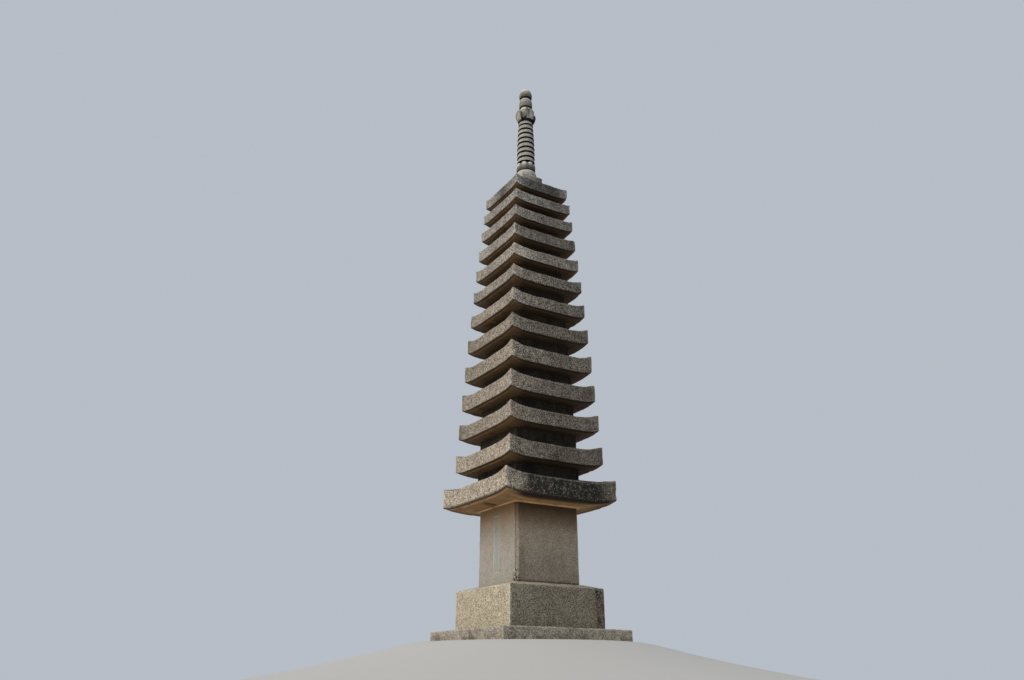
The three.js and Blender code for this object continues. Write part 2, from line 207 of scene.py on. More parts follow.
def effect_group(name, inputs, outputs):
    """An empty node group with these named sockets, F for a number, V for a vector, C for a colour."""
    kinds = {"F": "NodeSocketFloat", "V": "NodeSocketVector", "C": "NodeSocketColor"}
    group = bpy.data.node_groups.new(name, "ShaderNodeTree")
    for way, sockets in (("INPUT", inputs), ("OUTPUT", outputs)):
        for label, kind in sockets.items():
            group.interface.new_socket(label, in_out=way, socket_type=kinds[kind])
    given = group.nodes.new("NodeGroupInput").outputs
    return group, given, group.nodes.new("NodeGroupOutput").inputs


def coat_group(name, *numbers):
    """An empty node group for a coat over the stone, with these numbers among its inputs."""
    inputs = {"Coordinates": "V", "Color": "C", "Tint": "C", **dict.fromkeys(numbers, "F")}
    return effect_group(name, inputs, {"Color": "C", "Mask": "F"})


def close_coat(group, given, result, mask):
    """Lays the tint over the colour where the mask is high, and hands on the colour and the mask."""
    group.links.new(blend_of(group, mask, given["Color"], given["Tint"]), result["Color"])
    group.links.new(mask, result["Mask"])


# Granite: mottling over a hand's width, crystals of feldspar and mica, and the pits of the hammer.
granite, given, result = effect_group(
    "granite_grain",
    {
        "Coordinates": "V", "Stone": "C", "Pale": "C", "Dark": "C",
        "Crystal": "F", "Mottle": "F", "Speckle": "F",
    },
    {"Color": "C", "Height": "F"},
)
broad = noise_of(granite, given["Coordinates"], given["Mottle"], 4.0, 0.65)
tone = blend_of(granite, range_of(granite, broad, 0.3, 0.7), given["Dark"], given["Pale"])
tone = blend_of(granite, 0.35, given["Stone"], tone)
cells = {"Vector": given["Coordinates"], "Scale": given["Crystal"]}
cell = put(granite, "ShaderNodeTexVoronoi", cells)
chance = put(granite, "ShaderNodeSeparateColor", {0: cell.outputs["Color"]}).outputs
for colour, number, least in (("Pale", 0, 0.66), ("Dark", 1, 0.7)):
    chosen = range_of(granite, chance[number], least, least + 0.08)
    share = math_of(granite, "MULTIPLY", chosen, given["Speckle"])
    tone = blend_of(granite, share, tone, given[colour])
granite.links.new(tone, result["Color"])
pit_scale = math_of(granite, "MULTIPLY", given["Crystal"], 0.55)
pits = range_of(granite, noise_of(granite, given["Coordinates"], pit_scale, 4.0, 0.7), 0.25, 0.62)
knobs = math_of(granite, "MULTIPLY", chance[2], 0.3)
granite.links.new(math_of(granite, "ADD", pits, knobs), result["Height"])

# Tint patches: broken patches of another tone. Drawn out along Z they become the runs that rain leaves.
# The same coat also lays painted shade and painted light where a point attribute asks for it.
tint_patches, given, result = coat_group("tint_patch_coat", "Scale", "Cover", "Edge", "Zone")
patch = noise_of(tint_patches, given["Coordinates"], given["Scale"], 5.0, 0.62)
faint = math_of(tint_patches, "SUBTRACT", 1.0, given["Cover"])
full = math_of(tint_patches, "ADD", faint, given["Edge"])
mask = math_of(tint_patches, "MULTIPLY", range_of(tint_patches, patch, faint, full), given["Zone"])
close_coat(tint_patches, given, result, mask)

# Wear: arrises rubbed paler, broken up by noise so that no edge is an even line.
wear, given, result = coat_group("arris_wear", "Arris", "Amount")
ragged = range_of(wear, noise_of(wear, given["Coordinates"], 26.0, 4.0, 0.7), 0.36, 0.62)
most = math_of(wear, "MULTIPLY", given["Arris"], given["Amount"])
close_coat(wear, given, result, math_of(wear, "MULTIPLY", most, ragged))

# Flecks: small crusts of lichen or algae, dense where Zone is high.
flecks, given, result = coat_group("lichen_flecks", "Scale", "Cover", "Zone")
bent = noise_of(flecks, given["Coordinates"], given["Scale"], 2.0, 0.5)
spots = {"Vector": given["Coordinates"], "Scale": given["Scale"]}
distance = put(flecks, "ShaderNodeTexVoronoi", spots).outputs["Distance"]
most = math_of(flecks, "MULTIPLY", given["Cover"], given["Zone"])
reach = math_of(flecks, "MULTIPLY", most, bent)
mask = range_of(flecks, math_of(flecks, "SUBTRACT", reach, distance), 0.0, 0.1)
close_coat(flecks, given, result, mask)


def attribute_of(tree, label):
    """The output of a node that reads the point attribute with this name."""
    return put(tree, "ShaderNodeAttribute", attribute_name=label).outputs["Fac"]


def rgb(red, green, blue):
    """A colour given as 0 to 255 display numbers, turned into linear light."""
    share = np.array([red, green, blue]) / 255
    linear = np.where(share > 0.04045, ((share + 0.055) / 1.055) ** 2.4, share / 12.92)
    return (*linear.tolist(), 1.0)


def tint_coat(tint, scale, cover, edge, zone, stretch=None):
    """Patches of tint, scale of them a metre, over the share cover of the stone, with soft edges. zone
    is their strength, a number or the name of a point attribute. stretch draws them out."""
    values = {"Tint": rgb(*tint), "Scale": scale, "Cover": cover, "Edge": edge, "Zone": zone}
    return tint_patches, values, stretch


def fleck_coat(tint, scale, cover, zone):
    """Round crusts of tint, scale of them a metre, larger where cover and the attribute zone are."""
    return flecks, {"Tint": rgb(*tint), "Scale": scale, "Cover": cover, "Zone": zone}, None


def wear_coat(tint, amount):
    """The arrises rubbed to tint, as far as the attribute arris and this amount say."""
    return wear, {"Tint": rgb(*tint), "Arris": "arris", "Amount": amount}, None


def stone_finish(name, grain, coats, relief=0.004, vivid=1.0):
    """A stone's material. grain holds the granite's main, pale and dark colour, its crystals and its
    mottles a metre, and how much the crystals stand out. Each coat (group, values, stretch) lies over
    it in turn, and a value that is text names a point attribute. The attribute tone multiplies the
    brightness of the result and vivid its saturation. Coated stone is a little less rough, also where
    the coat is painted shade or painted light."""
    material = bpy.data.materials.new(name)
    material.use_nodes = True
    tree = material.node_tree
    shader = tree.nodes["Principled BSDF"]
    coordinates = put(tree, "ShaderNodeTexCoord").outputs["Object"]
    feeds = {"Coordinates": coordinates}
    feeds.update(zip(["Stone", "Pale", "Dark"], (rgb(*colour) for colour in grain[:3])))
    feeds.update(zip(["Crystal", "Mottle", "Speckle"], grain[3:]))
    base = put(tree, "ShaderNodeGroup", feeds, node_tree=granite)
    colour, coated = base.outputs["Color"], 0.0
    for group, values, stretch in coats:
        place = stretched(tree, coordinates, stretch) if stretch else coordinates
        feeds = {"Coordinates": place, "Color": colour}
        for socket, value in values.items():
            feeds[socket] = attribute_of(tree, value) if isinstance(value, str) else value
        coat = put(tree, "ShaderNodeGroup", feeds, node_tree=group)
        colour = coat.outputs["Color"]
        coated = math_of(tree, "MAXIMUM", coated, coat.outputs["Mask"])
    vivid = attribute_of(tree, vivid) if isinstance(vivid, str) else vivid
    toned = {"Value": attribute_of(tree, "tone"), "Saturation": vivid, "Color": colour}
    height = base.outputs["Height"]
    rough = range_of(tree, coated, 0.0, 1.0, DRY_ROUGHNESS, DAMP_ROUGHNESS)
    fine = math_of(tree, "MULTIPLY", height, CRYSTAL_ROUGHNESS)
    bump = put(tree, "ShaderNodeBump", {"Height": height, "Distance": relief, "Strength": 0.8})
    feed(tree, shader, {
        "Base Color": put(tree, "ShaderNodeHueSaturation", toned).outputs[0],
        "Roughness": math_of(tree, "ADD", rough, fine),
        "Normal": bump.outputs[0],
        "Specular IOR Level": 0.25,
    })
    return material


step_finish = stone_finish(
    "step_granite",
    ((158, 148, 132), (196, 188, 172), (96, 88, 76), 70.0, 9.0, 0.75),
    [
        tint_coat((92, 82, 64), 3.4, 0.5, 0.2, 0.7),
        tint_coat((66, 60, 46), 7.0, 0.62, 0.25, "shade_and_dirt"),
        fleck_coat((118, 122, 88), 26.0, 1.0, "growth"),
        wear_coat((205, 198, 183), 0.6),
    ],
)

for number, side in enumerate(["front", "right", "back", "left", "core"]):
    node = f"base_step_{side}"
    low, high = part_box(node)
    points, normals, gap, quads = box_lattice(low, high, STEP_PITCH, STEP_ROUNDING)
    free = ramp(points[:, 2], low[2], low[2] + STEP_BED)
    points = hewn(points, normals, gap, free, 11 * number + 1, STEP_SKIN, STEP_CHIP)
    layers = {
        "arris": bell(gap, 0, WEAR_REACH),
        "shade_and_dirt": ramp(points[:, 2], STEP_DAMP_HEIGHT, 0),
        "growth": bounded(0.6 * value_noise(points, 0.5, 5) + 0.2),
        "tone": STEP_TONES[number],
    }
    kerb = stone_object(f"stone_{node}", points, quads, NO_FANS, layers, step_finish)
    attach(kerb, "root")
    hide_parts(node)

# Plinth block
# One heavy block of pale cream granite, bush-hammered, with a weathered top that slopes away from the
# body. It is bedded on the step. Rain has left brown blotches on its faces and rust at one corner.

PLINTH_HALF = 1.026
PLINTH_FOOT, PLINTH_ARRIS, PLINTH_TOP = 0.225, 0.958, 1.03
BODY_FOOT_HALF, BODY_TOP_HALF, BODY_SEAT_MARGIN = 0.723, 0.715, 0.02
PLINTH_ROUNDING, PLINTH_PITCH, PLINTH_CHIP = 0.016, 0.028, 0.022
PLINTH_SKIN = ((0.4, 0.003), (0.12, 0.0022), (0.05, 0.0013))


def worn_profile(corners, rounding, pitch):
    """Walks a line of (half width, height, corner rise, free) corners in steps of about pitch. Each
    corner is cut back by rounding and bridged by the curve (1-t)^2 a + 2t(1-t) corner + t^2 b.
    Returns the rows and each row's distance to the nearest corner that stands out. The rise is how
    far the stone's own corners lie above the middle of its sides."""
    corners = np.array(corners, float)
    legs = np.diff(corners, axis=0)
    length = np.hypot(legs[:, 0], legs[:, 1])
    ways = legs / length[:, None]
    cut = np.minimum(rounding, 0.45 * np.minimum(length[:-1], length[1:]))
    t = np.array([[0.25], [0.5], [0.75], [1.0]])
    rows = [corners[:1]]
    for n, corner in enumerate(corners[1:]):
        last = n == len(cut)
        start = corner if last else corner - ways[n] * cut[n]
        span = start - rows[-1][-1]
        steps = max(1, round(np.hypot(span[0], span[1]) / pitch))
        rows.append(rows[-1][-1] + span * np.arange(1, steps + 1)[:, None] / steps)
        if not last:
            end = corner + ways[n + 1] * cut[n]
            rows.append((1 - t) ** 2 * start + 2 * t * (1 - t) * corner + t ** 2 * end)
    rows = np.concatenate(rows)
    turn = ways[:-1, 0] * ways[1:, 1] - ways[:-1, 1] * ways[1:, 0]
    sharp = corners[1:-1][turn > 0.2]
    gap = np.linalg.norm(rows[:, None, :2] - sharp[None, :, :2], axis=2).min(axis=1)
    return rows, gap


def square_plan(half, rounding, pitch, marks=(), flatness=2.0, bends=6):
    """Columns round a square. Along a side they hold A = (1, f), B = (1, 0), with f from -1 to 1 and
    closer at its ends. Round a corner A = (1, 1) and B is (cos, sin) / (cos^p + sin^p)^(1/p): flatness
    p is 2 for a round corner and near 1 for a chamfer. Each side is the first one turned."""
    steps = 2 + int(2 * (half - rounding) / pitch)
    along = np.linspace(-1, 1, steps)
    along = along + 0.06 * np.sin(np.pi * along)
    along = np.unique(np.concatenate([along, marks]))
    angle = np.linspace(0, np.pi / 2, bends + 1)[1:-1]
    bend = np.stack([np.cos(angle), np.sin(angle)], axis=1)
    bend /= ((bend ** flatness).sum(axis=1) ** (1 / flatness))[:, None]
    anchor = np.ones((len(along) + len(bend), 2))
    anchor[:len(along), 1] = along
    offset = np.concatenate([[[1.0, 0.0]] * len(along), bend])
    ends = np.concatenate([1 - np.abs(along), np.zeros(len(bend))])
    quarter = np.array([[0, 1], [-1, 0]])
    turns = [np.linalg.matrix_power(quarter, side) for side in range(4)]
    return (
        np.concatenate([anchor @ turn for turn in turns]),
        np.concatenate([offset @ turn for turn in turns]),
        np.tile(np.minimum(np.abs(anchor[:, 1]), 1), 4),
        np.tile(ends, 4),
    )


def sweep(rows, row_gap, plan, rounding, curve_power=5):
    """Carries a profile round a plan: point = (h - r) A + r B, height = z + rise * |f|^curve_power.
    Returns the grid of points and of distances to the nearest arris, underneath only the outer ones."""
    anchor, offset, share, ends = plan
    half, height, rise = rows[:, 0], rows[:, 1], rows[:, 2]
    bend = np.minimum(rounding, 0.45 * half)
    flat = (half - bend)[:, None, None] * anchor + bend[:, None, None] * offset
    level = height[:, None] + rise[:, None] * share ** curve_power
    under = np.gradient(half) > 0.7 * np.hypot(np.gradient(half), np.gradient(height))
    side_gap = (half - bend)[:, None] * ends + under[:, None]
    return np.dstack([flat, level]), np.minimum(row_gap[:, None], side_gap)


def grid_normals(grid):
    """Unit normals of a closed ring grid, as the cross product of the steps round it and up it."""
    around = np.roll(grid, -1, axis=1) - np.roll(grid, 1, axis=1)
    upward = np.gradient(grid, axis=0)
    normal = np.cross(around, upward)
    return normal / np.maximum(np.linalg.norm(normal, axis=2), 1e-9)[..., None]


def grid_faces(rows, columns):
    """Quads between a grid's rings, and the fans that close it on two pole points after the last."""
    order = np.arange(rows * columns).reshape(rows, columns)
    after = np.roll(order, -1, axis=1)
    quads = np.stack([order[:-1], after[:-1], after[1:], order[1:]], axis=-1).reshape(-1, 4)
    foot, top = np.full(columns, rows * columns), np.full(columns, rows * columns + 1)
    fans = [[foot, after[0], order[0]], [order[-1], after[-1], top]]
    return quads, np.concatenate([np.stack(fan, axis=1) for fan in fans])


def swept_stone(name, grid, gap, free, seed, skin, chip, layers, material, bites=()):
    """Roughens a grid whose first and last rings shrink to the axis, and closes it with two poles.
    layers is a function from points and normals to further attributes. An arris is rubbed only where
    neither painted shade and dirt nor a soffit covers it."""
    normals = grid_normals(grid)[1:-1].reshape(-1, 3)
    points = grid[1:-1].reshape(-1, 3)
    arris_gap = gap[1:-1].ravel()
    loose = np.broadcast_to(free[1:-1, None], gap[1:-1].shape).ravel()
    dry_side = 1 - bounded(-normals[:, 2])
    found = {"arris": dry_side * bell(arris_gap, 0, WEAR_REACH), **layers(points, normals)}
    found["arris"] = found["arris"] * (1 - found.get("shade_and_dirt", 0)) * (1 - found.get("soffit", 0))
    for label, values in found.items():
        found[label] = np.append(np.broadcast_to(values, len(points)), [0.0, 0.0])
    points = hewn(points, normals, arris_gap, loose, seed, skin, chip, bites)
    poles = np.array([[0, 0, grid[0, 0, 2]], [0, 0, grid[-1, 0, 2]]])
    quads, fans = grid_faces(grid.shape[0] - 2, grid.shape[1])
    return stone_object(name, np.concatenate([points, poles]), quads, fans, found, material)


def facings(normals):
    """How far each normal faces left (-X), front (-Y), right (+X) and back (+Y), from 0 to 1."""
    return bounded([-normals[:, 0], -normals[:, 1], normals[:, 0], normals[:, 1]])


plinth_finish = stone_finish(
    "plinth_granite",
    ((184, 173, 150), (216, 205, 181), (118, 104, 82), 70.0, 9.0, 0.9),
    [
        tint_coat((158, 142, 114), 2.6, 0.5, 0.3, 0.5),
        tint_coat((110, 100, 84), 4.2, 0.6, 0.4, "runs", (1, 1, 0.5)),
        tint_coat((104, 80, 72), 22.0, 0.75, 0.4, "rust", (1, 1, 0.6)),
        tint_coat((58, 36, 28), 12.0, 0.75, 0.3, "streak", (1, 1, 0.4)),
        fleck_coat((96, 92, 76), 30.0, 0.9, "growth"),
        fleck_coat((58, 48, 38), 47.0, 1.0, "pocks"),
        fleck_coat((228, 218, 198), 40.0, 1.0, "crust"),
        wear_coat((222, 214, 196), 0.5),
    ],
)


def plinth_layers(points, normals):
    """Runs and lichen by the face and broad noise. Rust reaches 0.22 m from the front right corner,
    with dark streaks in it. The front is the darkest face, and a little paler to the left."""
    x, y, z = points.T
    front, right, back = facings(normals)[1:]
    top = normals[:, 2] > 0.5
    from_corner = np.maximum(PLINTH_HALF - x, y + PLINTH_HALF) + 0.012 * value_noise(points, 0.12, 73)
    streak = bell(from_corner, 0.165, 0.028) * ramp(z, 0.66, 0.86) + 0.7 * bell(from_corner, 0, 0.03)
    front_loss = 0.44 - 0.1 * np.exp(-(x + PLINTH_HALF) / 0.35)
    return {
        "runs": bounded(0.2 + 0.4 * front + 0.6 * top + 0.25 * value_noise(points, 0.6, 71)),
        "rust": np.clip((0.22 - from_corner) / 0.05, 0, 0.95),
        "streak": np.clip(streak, 0, 0.9),
        "crust": 0.65 * front,
        "pocks": 0.65 * front,
        "growth": bounded(0.35 * value_noise(points, 0.4, 72) + 0.3 * front + 0.5 * top),
        "tone": 0.93 - front_loss * front - 0.12 * right - 0.1 * back,
    }


plinth_corners = [
    (0, PLINTH_FOOT, 0, 0),
    (PLINTH_HALF, PLINTH_FOOT, 0, 0.4),
    (PLINTH_HALF, PLINTH_ARRIS, 0, 1),
    (BODY_FOOT_HALF + BODY_SEAT_MARGIN, PLINTH_TOP, 0, 0.3),
    (0, PLINTH_TOP, 0, 0),
]
rows, row_gap = worn_profile(plinth_corners, PLINTH_ROUNDING, PLINTH_PITCH)
plan = square_plan(PLINTH_HALF, PLINTH_ROUNDING, PLINTH_PITCH)
grid, gap = sweep(rows, row_gap, plan, PLINTH_ROUNDING)
plinth = swept_stone(
    "stone_plinth_block", grid, gap, rows[:, 3], 101, PLINTH_SKIN, PLINTH_CHIP,
    plinth_layers, plinth_finish,
)
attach(plinth, "root")
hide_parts("plinth_block")

# Body block
# The tall first storey: one granite block, finely dressed, its four corners cut off by a wide chamfer.
# It stands on the plinth by its weight. A shallow bare strip is sunk in the middle of its -X face.

BODY_BOTTOM, BODY_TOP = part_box("body_block")[0][2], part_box("body_block")[1][2]
BODY_CHAMFER, CHAMFER_FLATNESS, CHAMFER_BENDS = 0.062, 1.06, 9
STRIP_HALF, STRIP_DEPTH, STRIP_BORDER = 0.105, 0.006, 0.013
STRIP_HIGH = BODY_TOP - 0.11 * (BODY_TOP - BODY_BOTTOM)
STRIP_LOW = BODY_TOP - 0.86 * (BODY_TOP - BODY_BOTTOM)
BODY_ROUNDING, BODY_PITCH, BODY_CHIP = 0.01, 0.026, 0.012
BODY_SKIN = ((0.5, 0.0022), (0.13, 0.0012), (0.04, 0.0006))
FOOT_BITE = ((-0.66, -0.7, BODY_BOTTOM + 0.03), 0.05, 0.018)

body_finish = stone_finish(
    "body_granite",
    ((154, 143, 128), (180, 169, 153), (106, 95, 80), 96.0, 8.0, 0.8),
    [
        tint_coat((126, 113, 96), 2.2, 0.52, 0.3, 0.4, (1, 1, 0.5)),
        tint_coat((100, 90, 78), 6.0, 0.5, 0.2, "runs", (1, 1, 0.12)),
        tint_coat((146, 150, 143), 5.0, 0.85, 0.3, "strip"),
        tint_coat((120, 128, 121), 8.0, 0.5, 0.25, "strip"),
        tint_coat((190, 193, 184), 9.0, 0.9, 0.3, "border"),
        tint_coat((148, 149, 144), 2.0, 0.95, 0.5, "faded", (1, 1, 0.3)),
        # The warm brown coat and the dark coat after it are painted shade under the roof; the dark coat
        # also marks the joints and the dirt at the front left foot.
        tint_coat((146, 108, 58), 2.6, 0.9, 0.4, "painted_warm_shade"),
        tint_coat((50, 39, 28), 3.0, 0.95, 0.4, "shade_and_dirt"),
        fleck_coat((168, 163, 160), 30.0, 1.6, "growth"),
        wear_coat((196, 186, 168), 0.6),
    ],
    relief=0.0025,
)


def body_half(height):
    """Half the body's width at a height, which shrinks evenly upwards."""
    return np.interp(height, [BODY_BOTTOM, BODY_TOP], [BODY_FOOT_HALF, BODY_TOP_HALF])


def in_strip(points, wider=0.0):
    """1 inside the strip on the -X face, or in one that much wider all round, falling to 0 over a few
    millimetres at its four edges."""
    x, y, z = points.T
    across = bounded((STRIP_HALF + wider - np.abs(y)) / STRIP_DEPTH + 0.5)
    upward = bounded((np.minimum(z - STRIP_LOW, STRIP_HIGH - z) + wider) / STRIP_DEPTH + 0.5)
    return across * upward * (x < -0.6)


def body_layers(points, normals):
    """Painted shade, dark and warm brown, gathers under the roof, most on the front. Both joints are
    darker.
    Dirt and lichen lie at the front left foot, as far as exp(-(d / 0.075)^4) of the distance and
    exp(-(h / 0.26)^6) of the height reach. The strip is tinted and its border pale, both weaker at its
    foot. Each chamfer has a painted dark shade line beside a painted pale highlight, and painted shade
    makes it darker than the faces beside it."""
    x, y, z = points.T
    left, front = facings(normals)[:2]
    half = body_half(z)
    past_arris = np.minimum(np.abs(x), np.abs(y)) - half + BODY_CHAMFER
    over_chamfer = (np.abs(y) - np.abs(x)) / BODY_CHAMFER
    # A painted pale highlight and a painted dark shade line run down each chamfer.
    lines = 0.2 * bell(over_chamfer, 0.3, 0.25) - 0.22 * bell(over_chamfer, -0.35, 0.25)
    near_corner = np.exp(-((np.hypot(x + half - 0.02, y + half - 0.04) / 0.075) ** 4))
    foot_corner = near_corner * np.exp(-(((z - BODY_BOTTOM) / 0.26) ** 6))
    foot_dirt_and_shade = 0.7 - 2 * (z - BODY_BOTTOM) + 0.7 * value_noise(points, 0.04, 83)
    under_roof = ramp(z, BODY_TOP - 0.5, BODY_TOP - 0.05)
    joint = bell(z, BODY_BOTTOM, 0.03) + bell(z, BODY_TOP, 0.02)
    # Painted shade under the roof, most on the front, darker joints, and dirt at the foot corner.
    darkening = under_roof * (0.1 + 0.8 * front ** 2.5) + 0.8 * joint * front + foot_corner * foot_dirt_and_shade
    painted = np.clip((z - STRIP_LOW) / 0.18, 0.3, 1)
    # Painted shade: the left face darkens round 1.98 m below the roof's shade, and each chamfer is
    # darker than the faces beside it. The front face is paler above 1.6 m and darker below.
    left_gain = 0.05 - 0.1 * bell(z, 1.98, 0.2)
    front_gain = 0.07 * np.clip((z - 1.6) / 0.15, -2, 0.8)
    tone = 1.0 + left_gain * left ** 4 + front_gain * front ** 4 - 0.35 * (front * left) ** 2
    return {
        "arris": bell(past_arris, 0, 0.006) * (1 - under_roof),
        "strip": in_strip(points) * painted,
        "border": (in_strip(points) - in_strip(points, -STRIP_BORDER)) * painted,
        "runs": bounded(0.15 + 0.3 * under_roof + 0.25 * value_noise(points, 0.5, 81)),
        "shade_and_dirt": np.clip(darkening, 0, 0.9),
        "painted_warm_shade": 0.12 * ramp(z, 1.4, 2.0) + 0.6 * under_roof,
        "faded": 0.4 * left ** 4 * (1 - in_strip(points)),
        "growth": bounded(foot_corner * (0.75 + 0.6 * value_noise(points, 0.05, 82))),
        "tone": tone + lines * (past_arris > 0),
    }


body_corners = [
    (0, BODY_BOTTOM, 0, 0),
    (BODY_FOOT_HALF, BODY_BOTTOM, 0, 0.6),
    (body_half(STRIP_LOW), STRIP_LOW, 0, 1),
    (body_half(STRIP_HIGH), STRIP_HIGH, 0, 1),
    (BODY_TOP_HALF, BODY_TOP, 0, 0.6),
    (0, BODY_TOP, 0, 0),
]
rows, row_gap = worn_profile(body_corners, BODY_ROUNDING, BODY_PITCH)
strip_share = STRIP_HALF / (BODY_FOOT_HALF - BODY_CHAMFER)
edge_shares = np.concatenate([strip_share + np.linspace(-0.03, 0.012, 8), [0.985, 0.994]])
strip_marks = np.outer([-1, 1], edge_shares).ravel()
plan = square_plan(
    BODY_FOOT_HALF, BODY_CHAMFER, BODY_PITCH, strip_marks, CHAMFER_FLATNESS, CHAMFER_BENDS
)
grid, gap = sweep(rows, row_gap, plan, BODY_CHAMFER)
grid[..., 0] += STRIP_DEPTH * in_strip(grid.reshape(-1, 3)).reshape(gap.shape)
body = swept_stone(
    "stone_body_block", grid, gap, rows[:, 3], 131, BODY_SKIN, BODY_CHIP,
    body_layers, body_finish, [FOOT_BITE],
)
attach(body, "root")
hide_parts("body_block")

# Roof stones
# Thirteen square granite slabs, each cut from one stone: a thick eave that curls up at the corners, a
# hollow weathered slope above, and a shelf and one low step below. They lie on the storey blocks.

ROOF_COUNT = 13
FIRST_ROOF_HALF, SECOND_ROOF_WIDTH, TOP_ROOF_WIDTH = 1.25, 2.164, 1.358
EAVE_THICKNESS = [0.4, 0.35, 0.325, 0.35, 0.345, 0.3, 0.285, 0.265, 0.265, 0.26, 0.235, 0.22, 0.23]
TOP_SAGS, BOTTOM_SAGS, TOP_SAG_POWER = (0.106, 0.028), (0.066, 0.046), 1.5
SHELF_SHARE, SOFFIT_STEP = 0.064, 0.025
FIRST_SEAT_STEP, FIRST_SEAT_MARGIN = 0.028, 0.024
SLOPE_RISE, TOP_SLOPE_RISE = 0.3, 0.38
BLOCK_SHARE, SEAT_MARGIN, TOP_SEAT_HALF = 0.68, 0.012, 0.29
ROOF_ROUNDING, ROOF_PITCH, ROOF_CHIP = 0.015, 0.026, 0.022
ROOF_SKIN = ((0.55, 0.004), (0.16, 0.0028), (0.06, 0.0022), (0.03, 0.0012))

roof_finish = stone_finish(
    "eave_granite",
    ((146, 136, 122), (188, 176, 160), (78, 68, 57), 58.0, 17.0, 0.88),
    [
        tint_coat((112, 102, 88), 2.6, 0.52, 0.22, 0.5),
        tint_coat((66, 60, 52), 9.0, 0.58, 0.2, "runs", (1, 1, 0.75)),
        # The soffit's warm brown tints are partly the underside's own stain and partly painted warm
        # light thrown up from the ground.
        tint_coat((150, 119, 83), 5.0, 0.95, 0.3, "soffit"),
        tint_coat((118, 88, 56), 4.0, 0.5, 0.2, "soffit"),
        # The dark coat is painted shade on the soffits, in a painted shadow band at the eave's foot and
        # in the hole, and dark marks at the scars.
        tint_coat((40, 32, 24), 4.0, 0.95, 0.3, "shade_and_dirt"),
        tint_coat((35, 31, 27), 15.0, 0.83, 0.36, "algae", (1, 1, 0.7)),
        fleck_coat((172, 166, 152), 38.0, 1.0, "crust"),
        fleck_coat((48, 43, 38), 45.0, 1.0, "pocks"),
        fleck_coat((136, 131, 94), 22.0, 1.1, "growth"),
        wear_coat((186, 176, 160), 0.4),
    ],
    relief=0.005,
    vivid="vivid",
)

# Brightness of the left and front faces from the lowest roof up. By roof: how much duller the left
# face's front and back end are, how high the painted shadow band at the eave's foot reaches, and an
# upper corner's chip.
LEFT_TONES = [1.41, 1.31, 1.05, 1.08, 1.0, 0.95, 1.01, 0.95, 1.12, 1.1, 1.04, 1.0, 0.7]
FRONT_TONES = [1.05, 0.73, 0.86, 0.87, 0.93, 0.89, 0.95, 1.12, 1.31, 0.84, 0.96, 1.12, 1.0]
DULL_ENDS = {3: (0, 0.6), 6: (0.5, 0.45), 7: (0, 0.45), 9: (0, 0.55), 11: (0.6, 0), 12: (0.5, 0)}
RECESS_SHADOW_HEIGHTS = {1: 0.03, 6: 0.006, 8: 0.012}
TOP_CORNER_CHIPS = {10: ((1, -1), 0.05, 0.03), 7: ((-1, 1), 0.035, 0.018), 4: ((1, -1), 0.03, 0.014)}

# The lowest roof's scars below, as (x, y, size, darkness), and the small hole in its left eave, whose
# inside is painted dark as shade.
SCARS = ((-0.97, -0.08, 0.09, 0.9), (-0.82, -0.06, 0.07, 1.0), (-0.76, 0.09, 0.08, 0.6))
SCAR_RISE, SCAR_SINK = 0.03, 0.015
HOLE_Y, HOLE_RISE, HOLE_SHADE_RADIUS, HOLE_RADIUS, HOLE_SINK = 0.662, 0.339, 0.024, 0.035, 0.02


def roof_width(roof):
    """The width of a roof above the lowest, which shrinks evenly upwards."""
    return np.interp(roof, [2, ROOF_COUNT], [SECOND_ROOF_WIDTH, TOP_ROOF_WIDTH])


def roof_corners(roof):
    """The roof's profile as in the solids, and its half width, in metres."""
    share = (roof - 1) / (ROOF_COUNT - 1)
    half = FIRST_ROOF_HALF if roof == 1 else round(500 * roof_width(roof)) / 1000
    top_sag = np.interp(share ** TOP_SAG_POWER, [0, 1], TOP_SAGS)
    bottom_sag = np.interp(share, [0, 1], BOTTOM_SAGS)
    seat_step = FIRST_SEAT_STEP if roof == 1 else 0.0
    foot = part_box(f"roof_{roof:02d}")[0][2]
    eave_foot = foot + SOFFIT_STEP + seat_step
    eave_top = eave_foot + EAVE_THICKNESS[roof - 1] + bottom_sag - top_sag
    top_half = TOP_SEAT_HALF if roof == ROOF_COUNT else BLOCK_SHARE * roof_width(roof + 1) / 2
    seat = top_half + SEAT_MARGIN
    rise = (TOP_SLOPE_RISE if roof == ROOF_COUNT else SLOPE_RISE) * (half - seat)
    lower_seat = BODY_TOP_HALF + FIRST_SEAT_MARGIN if roof == 1 else BLOCK_SHARE * half + SEAT_MARGIN
    shelf = half * (1 - SHELF_SHARE)
    corners = [
        (0, foot, 0, 0),
        (lower_seat, foot, 0, 0.2),
        (lower_seat, foot + seat_step, 0, 1),
        (shelf, foot + seat_step, bottom_sag, 1),
        (shelf, eave_foot, bottom_sag, 1),
        (half, eave_foot, bottom_sag, 1),
        (half, eave_top, top_sag, 1),
        ((half + seat) / 2, eave_top + 0.4 * rise, 0.35 * top_sag, 1),
        (seat, eave_top + rise, 0, 0.5),
        (0, eave_top + rise, 0, 0),
    ]
    if seat_step == 0:
        del corners[2]
    return corners, half


